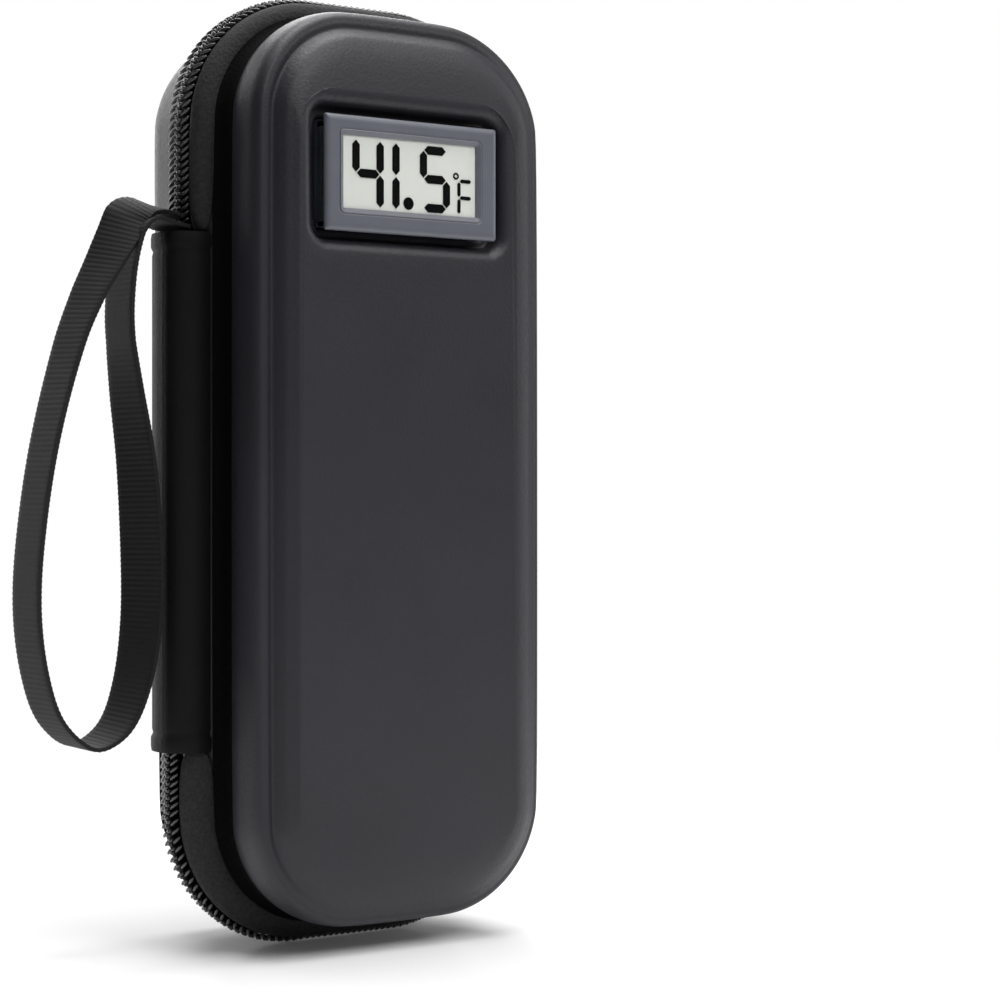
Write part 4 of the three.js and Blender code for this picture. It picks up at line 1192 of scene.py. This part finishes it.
# %% Metal and board finishes
finish = Finish("steel", Metallic=1.0)
x, y, z = finish.axes(finish.place)
drawn_out = finish.node("CombineXYZ", {}, {0: x * 0.04, 1: y, 2: z})
brushed = finish.noise(0.15 * MM, 3, vector=drawn_out)
finish.paint(brushed, tint(196, 199, 203), tint(222, 224, 226))
finish.set("Roughness", 0.22 + brushed * 0.18)
STEEL = finish.material

finish = Finish("dark_metal", Metallic=0.85)
scuff = finish.noise(1.6 * MM, 4, 0.6)
speck = finish.noise(0.2 * MM, 2)
finish.paint(scuff, tint(48, 48, 51), tint(76, 76, 80))
finish.set("Roughness", 0.28 + scuff * 0.22)
finish.relief(speck, 0.01 * MM, 0.5)
DARK_METAL = finish.material

finish = Finish("board", 0.45)
axes = finish.axes(finish.place)
traces = finish.wave(axes[0] + axes[2] * 0.5, 1.1 * MM) * finish.noise(4 * MM, 1)
finish.paint(traces, tint(20, 84, 52), tint(46, 128, 84))
finish.set("Roughness", 0.45 - traces * 0.15)
BOARD = finish.material

print("metal and board finishes:", STEEL.name, DARK_METAL.name, BOARD.name)

# %% Inner pieces
INNER_PIECES = [
    ("circuit_board_plate", "circuit_board", 0.1, BOARD),
    ("battery_contact_strip", "battery_contact", 0.08, STEEL),
    ("left_cell_can", "left_button_cell", 0.25, STEEL),
    ("right_cell_can", "right_button_cell", 0.25, STEEL),
    ("sensor_tip", "temperature_sensor", 0.3, STEEL),
    ("thermometer_back_plate", "thermometer_back", 0.18, SLATE),
]


def dressed(name, node, width, material, body):
    """A softened copy of a model piece, in its finish."""
    piece(name, softened(node, width * MM), material, [node], body, sharp=40)


for row in INNER_PIECES:
    dressed(*row, "lid")

# %% [markdown]
# The battery door has a patch of raised bars, so that a thumb can push it.

# %% Battery door
door_low, door_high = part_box("battery_door")
DOOR_ROUNDING = 0.18 * MM
GRIP_BARS = 5
GRIP_PITCH = 1.5 * MM
GRIP_SIZE = (9 * MM, 0.5 * MM, 0.6 * MM)
GRIP_ROUNDING = 0.15 * MM

bm = softened("battery_door", DOOR_ROUNDING)
middle = (door_low.z + door_high.z) / 2
for k in range(GRIP_BARS):
    height = middle + (k - (GRIP_BARS - 1) / 2) * GRIP_PITCH
    bar = bmesh.ops.create_cube(bm, size=1)["verts"]
    bmesh.ops.scale(bm, vec=GRIP_SIZE, verts=bar)
    bmesh.ops.translate(bm, vec=(0, door_high.y, height), verts=bar)
    edges = list({edge for vert in bar for edge in vert.link_edges})
    rounded(bm, edges, GRIP_ROUNDING, affect="EDGES", segments=2)
piece("battery_door_plate", bm, SLATE, ["battery_door"], "battery_door", sharp=40)

# %% [markdown]
# ## The sliders
#
# Two sliders meet on the right side, each with a pull. Their shapes are right in the model, so they only
# get rounded edges and dark metal.

# %% Sliders and pulls
for end in ("upper", "lower"):
    slider, pull = end + "_slider", end + "_pull"
    dressed(slider + "_body", slider, 0.28, DARK_METAL, slider)
    dressed(pull + "_tab", pull, 0.22, DARK_METAL, pull)

# %% [markdown]
# ## The ice packs
#
# A gel pack is a smooth blue pillow with round ends. It is a row of rings from front to back: a flat
# welded seam in the middle, full round sides, and faces that crown gently.

# %% Ice packs
PACK_END = 0.2 * MM
PACK_PROFILE = [
    (1.0, 15.0), (0.985, 10.0), (0.94, 6.0), (0.8, 2.9),
    (0.55, 1.0), (0.25, 0.42), (0.08, 0.32), (0.05, 0.02),
]

finish = Finish("blue_gel", 0.45, Coat_Roughness=0.25)
cloud = finish.noise(14 * MM, 3)
film = finish.noise(1.2 * MM, 3)
finish.paint(cloud, tint(2, 78, 196), tint(6, 104, 214))
finish.set("Roughness", 0.3 + film * 0.16)
finish.set("Coat Weight", 0.2 + cloud * 0.15)
finish.relief(film, 0.05 * MM, 0.35)
GEL = finish.material

for half in ("front", "rear"):
    node = half + "_ice_pack"
    low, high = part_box(node)
    middle, reach = (low + high) / 2, (high.y - low.y) / 2
    size = (high.x - low.x, high.z - low.z)
    rings = []
    for out, inset in PACK_PROFILE + [(-out, inset) for out, inset in PACK_PROFILE[::-1]]:
        radius = size[0] / 2 - inset * MM - PACK_END
        rings.append(grown_ring(size, -inset * MM, radius, middle.y + out * reach, middle.z))
    made = lofted(half + "_gel_pack", rings, GEL, [node], half + "_pack", caps=True, levels=2)

# %% [markdown]
# ## The mesh pockets
#
# Each pack sits in a pocket of open net. The net starts as a flat diamond grid. Points outside the
# pocket's face are rolled down its side to the lining, as a net that is drawn over a pack. A Wireframe
# modifier then turns the grid into strands. A tape binds the foot, and an elastic band the mouth.

# %% Mesh pockets
NET = plain_finish(
    "mesh_cloth",
    0.3,
    colours=(tint(18, 18, 20), tint(46, 46, 49)),
    rough=(0.7, 0.2),
    fine=(0.3 * MM, 3, 0.6),
    broad=(7 * MM,),
    blend=0.6,
    relief=(0.06 * MM, 0.7),
)
NET_CELL = 2.3 * MM
NET_CELLS = 52
NET_STRAND = 0.34 * MM
NET_ROUND = 5.8 * MM
NET_DROP = 2 * MM
NET_MERGE = 0.05 * MM
SIDE_SHARE = 0.81


def pocket(half, side):
    """Upper corner of a pocket's box, half its width, the height of its round end, its rise and its foot."""
    low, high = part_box(half + "_mesh_pocket")
    return high, high.x, low.z + high.x, high.y - low.y, high.y if side > 0 else low.y


def drape(vert, reach, centre, rise):
    """Rolls a point of the flat net down the pocket's side; gives its height above the lining."""
    spoke = Vector((vert.co.x, 0, min(0, vert.co.z - centre)))
    core = reach - NET_ROUND
    arc = SIDE_SHARE * (NET_ROUND + rise)
    beyond = max(0, spoke.length - core)
    turn = min(1, beyond / arc) * pi / 2
    if beyond > 0:
        moved = spoke * ((core + NET_ROUND * sin(turn)) / spoke.length)
        vert.co += moved - spoke
    return rise * cos(turn), beyond > arc


for half, side, body in HALVES:
    high, reach, centre, rise, foot = pocket(half, side)
    bm = bmesh.new()
    upright = Matrix.Translation((0, 0, centre)) @ Matrix.Rotation(pi / 2, 4, "X")
    diamond = upright @ Matrix.Rotation(pi / 4, 4, "Z")
    size = NET_CELL * NET_CELLS / 2
    bmesh.ops.create_grid(bm, x_segments=NET_CELLS, y_segments=NET_CELLS, size=size, matrix=diamond)
    cut(bm, (0, 0, high.z - NET_DROP), (0, 0, 1), clear=True)
    outside = set()
    for vert in bm.verts:
        height, past = drape(vert, reach, centre, rise)
        vert.co.y = foot - side * height
        if past:
            outside.add(vert)
    spare = [face for face in bm.faces if all(vert in outside for vert in face.verts)]
    bmesh.ops.delete(bm, geom=spare, context="FACES")
    bmesh.ops.remove_doubles(bm, verts=bm.verts, dist=NET_MERGE)
    bmesh.ops.recalc_face_normals(bm, faces=bm.faces)
    made = piece(half + "_pocket_net", bm, NET, [half + "_mesh_pocket"], body)
    strands = made.modifiers.new("strands", "WIREFRAME")
    strands.thickness = NET_STRAND
    strands.use_boundary = True
    strands.use_even_offset = False

# %% Pocket trims
FOOT_TAPE = 2.6 * MM
FOOT_STEPS = 12
MOUTH_BAND = 4.2 * MM
MOUTH_STEPS = 6
TRIM_THICKNESS = 0.7 * MM
GATHER_PITCH = 1.7 * MM
GATHER_HEIGHT = 0.12 * MM
STEPS_PER_GATHER = 4
UPWARD = Vector((0, 0, 1))

for half, side, body in HALVES:
    high, reach, centre, rise, foot = pocket(half, side)
    y = foot - side * FOOT_TAPE / 2
    z = high.z - MOUTH_BAND / 2
    sole = [Vector((reach, y, high.z)), Vector((reach, y, (high.z + centre) / 2))]
    for k in range(FOOT_STEPS + 1):
        turn = pi * k / FOOT_STEPS
        sole.append(Vector((reach * cos(turn), y, centre - reach * sin(turn))))
    sole += [Vector((-reach, y, (high.z + centre) / 2)), Vector((-reach, y, high.z))]
    arch = []
    for k in range(MOUTH_STEPS + 1):
        turn = pi / 2 * k / MOUTH_STEPS
        x = reach - NET_ROUND * (1 - cos(turn))
        arch.append(Vector((x, foot - side * rise * sin(turn), z)))
    arch += [Vector((-place.x, place.y, z)) for place in arch[::-1]]
    bm = bmesh.new()
    for points, width, across in [(sole, FOOT_TAPE, DEPTHWISE), (arch, MOUTH_BAND, UPWARD)]:
        waves = round(smooth_route(points, 1)[1] / GATHER_PITCH)
        route = smooth_route(points, waves * STEPS_PER_GATHER)[0]
        ribbon(bm, route, width, GATHER_HEIGHT, waves, across)
    made = piece(half + "_pocket_trim", bm, NET, body=body)
    thicken(made, TRIM_THICKNESS, TRIM_THICKNESS / 4)

# %% [markdown]
# ## Light and floor
#
# The photograph is lit softly from above and from the front, on a white sweep. Weak light from the right
# and from behind draws the edges, and hardly any comes from the left. The floor is pale and fades out,
# so that only the shadow beside the case shows.

# %% Floor
FLOOR_CLEAR = 0.25
FLOOR_EDGE = 0.55
FLOOR_GLOW = 0.04
WHITE = (1, 1, 1, 1)

finish = Finish("floor", 0.4, Emission_Color=WHITE, Emission_Strength=FLOOR_GLOW)
haze = finish.noise(80 * MM)
reach = finish.node("VectorMath", {"operation": "LENGTH"}, {0: finish.place}, "Value")
span = {"From Min": FLOOR_CLEAR, "From Max": FLOOR_EDGE, "To Min": 1.0, "To Max": 0.0}
solid = finish.node("MapRange", {"interpolation_type": "SMOOTHSTEP"}, {"Value": reach, **span})
finish.paint(haze, tint(246, 246, 246), tint(249, 249, 249))
finish.set("Roughness", 0.1 + haze * 0.04)
finish.set("Alpha", solid)

bm = bmesh.new()
bmesh.ops.create_grid(bm, x_segments=1, y_segments=1, size=1)
mesh = bpy.data.meshes.new("floor")
bm.to_mesh(mesh)
bm.free()
mesh.materials.append(finish.material)
sweep = bpy.data.objects.new("floor", mesh)
scene.collection.objects.link(sweep)
sweep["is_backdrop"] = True
print("floor fades out at", FLOOR_EDGE, "m")

# %% Lights
ROOM_LIGHT = 0.12
SOFTBOXES = [
    ("overhead", (0.12, 0.0, 1.3), (0, 0, 0.1), (1.0, 1.0), 25),
    ("front", (0.3, -0.95, 1.1), (0, 0, 0.1), (1.0, 0.8), 13),
    ("back", (0.35, 0.85, 0.8), (0, 0, 0.15), (0.6, 0.6), 8),
    ("right", (1.05, -0.3, 0.35), (0, 0, 0.1), (0.3, 0.9), 3),
    ("backdrop", (-0.25, 1.25, 0.35), (0, 0, 0.12), (0.4, 1.2), 10),
]

# A dim grey room that the camera sees as white.
world = bpy.data.worlds.new("studio")
world.use_nodes = True
tree = world.node_tree
room = tree.nodes["Background"]
seen = tree.nodes.new("ShaderNodeBackground")
rays = tree.nodes.new("ShaderNodeLightPath")
mixed = tree.nodes.new("ShaderNodeMixShader")
for background in (room, seen):
    background.inputs["Color"].default_value = WHITE
room.inputs["Strength"].default_value = ROOM_LIGHT
tree.links.new(rays.outputs["Is Camera Ray"], mixed.inputs[0])
tree.links.new(room.outputs[0], mixed.inputs[1])
tree.links.new(seen.outputs[0], mixed.inputs[2])
tree.links.new(mixed.outputs[0], tree.nodes["World Output"].inputs["Surface"])
scene.world = world

for name, place, aim, size, power in SOFTBOXES:
    light = bpy.data.lights.new(name, "AREA")
    light.shape = "RECTANGLE"
    light.size, light.size_y = size
    light.energy = power
    softbox = bpy.data.objects.new(name, light)
    softbox.location = place
    softbox.rotation_euler = (Vector(aim) - Vector(place)).to_track_quat("-Z", "Y").to_euler()
    scene.collection.objects.link(softbox)
scene.view_settings.view_transform = "Standard"
print("lights:", [light.name for light in bpy.data.lights])

# %% [markdown]
# ## The size of the dressed case
#
# The dressed case has to stay in the box of the model, so its box is printed at the end.

# %% Dressed size
low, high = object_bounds()
print("dressed box", [round(c / MM, 1) for c in high - low], "mm")
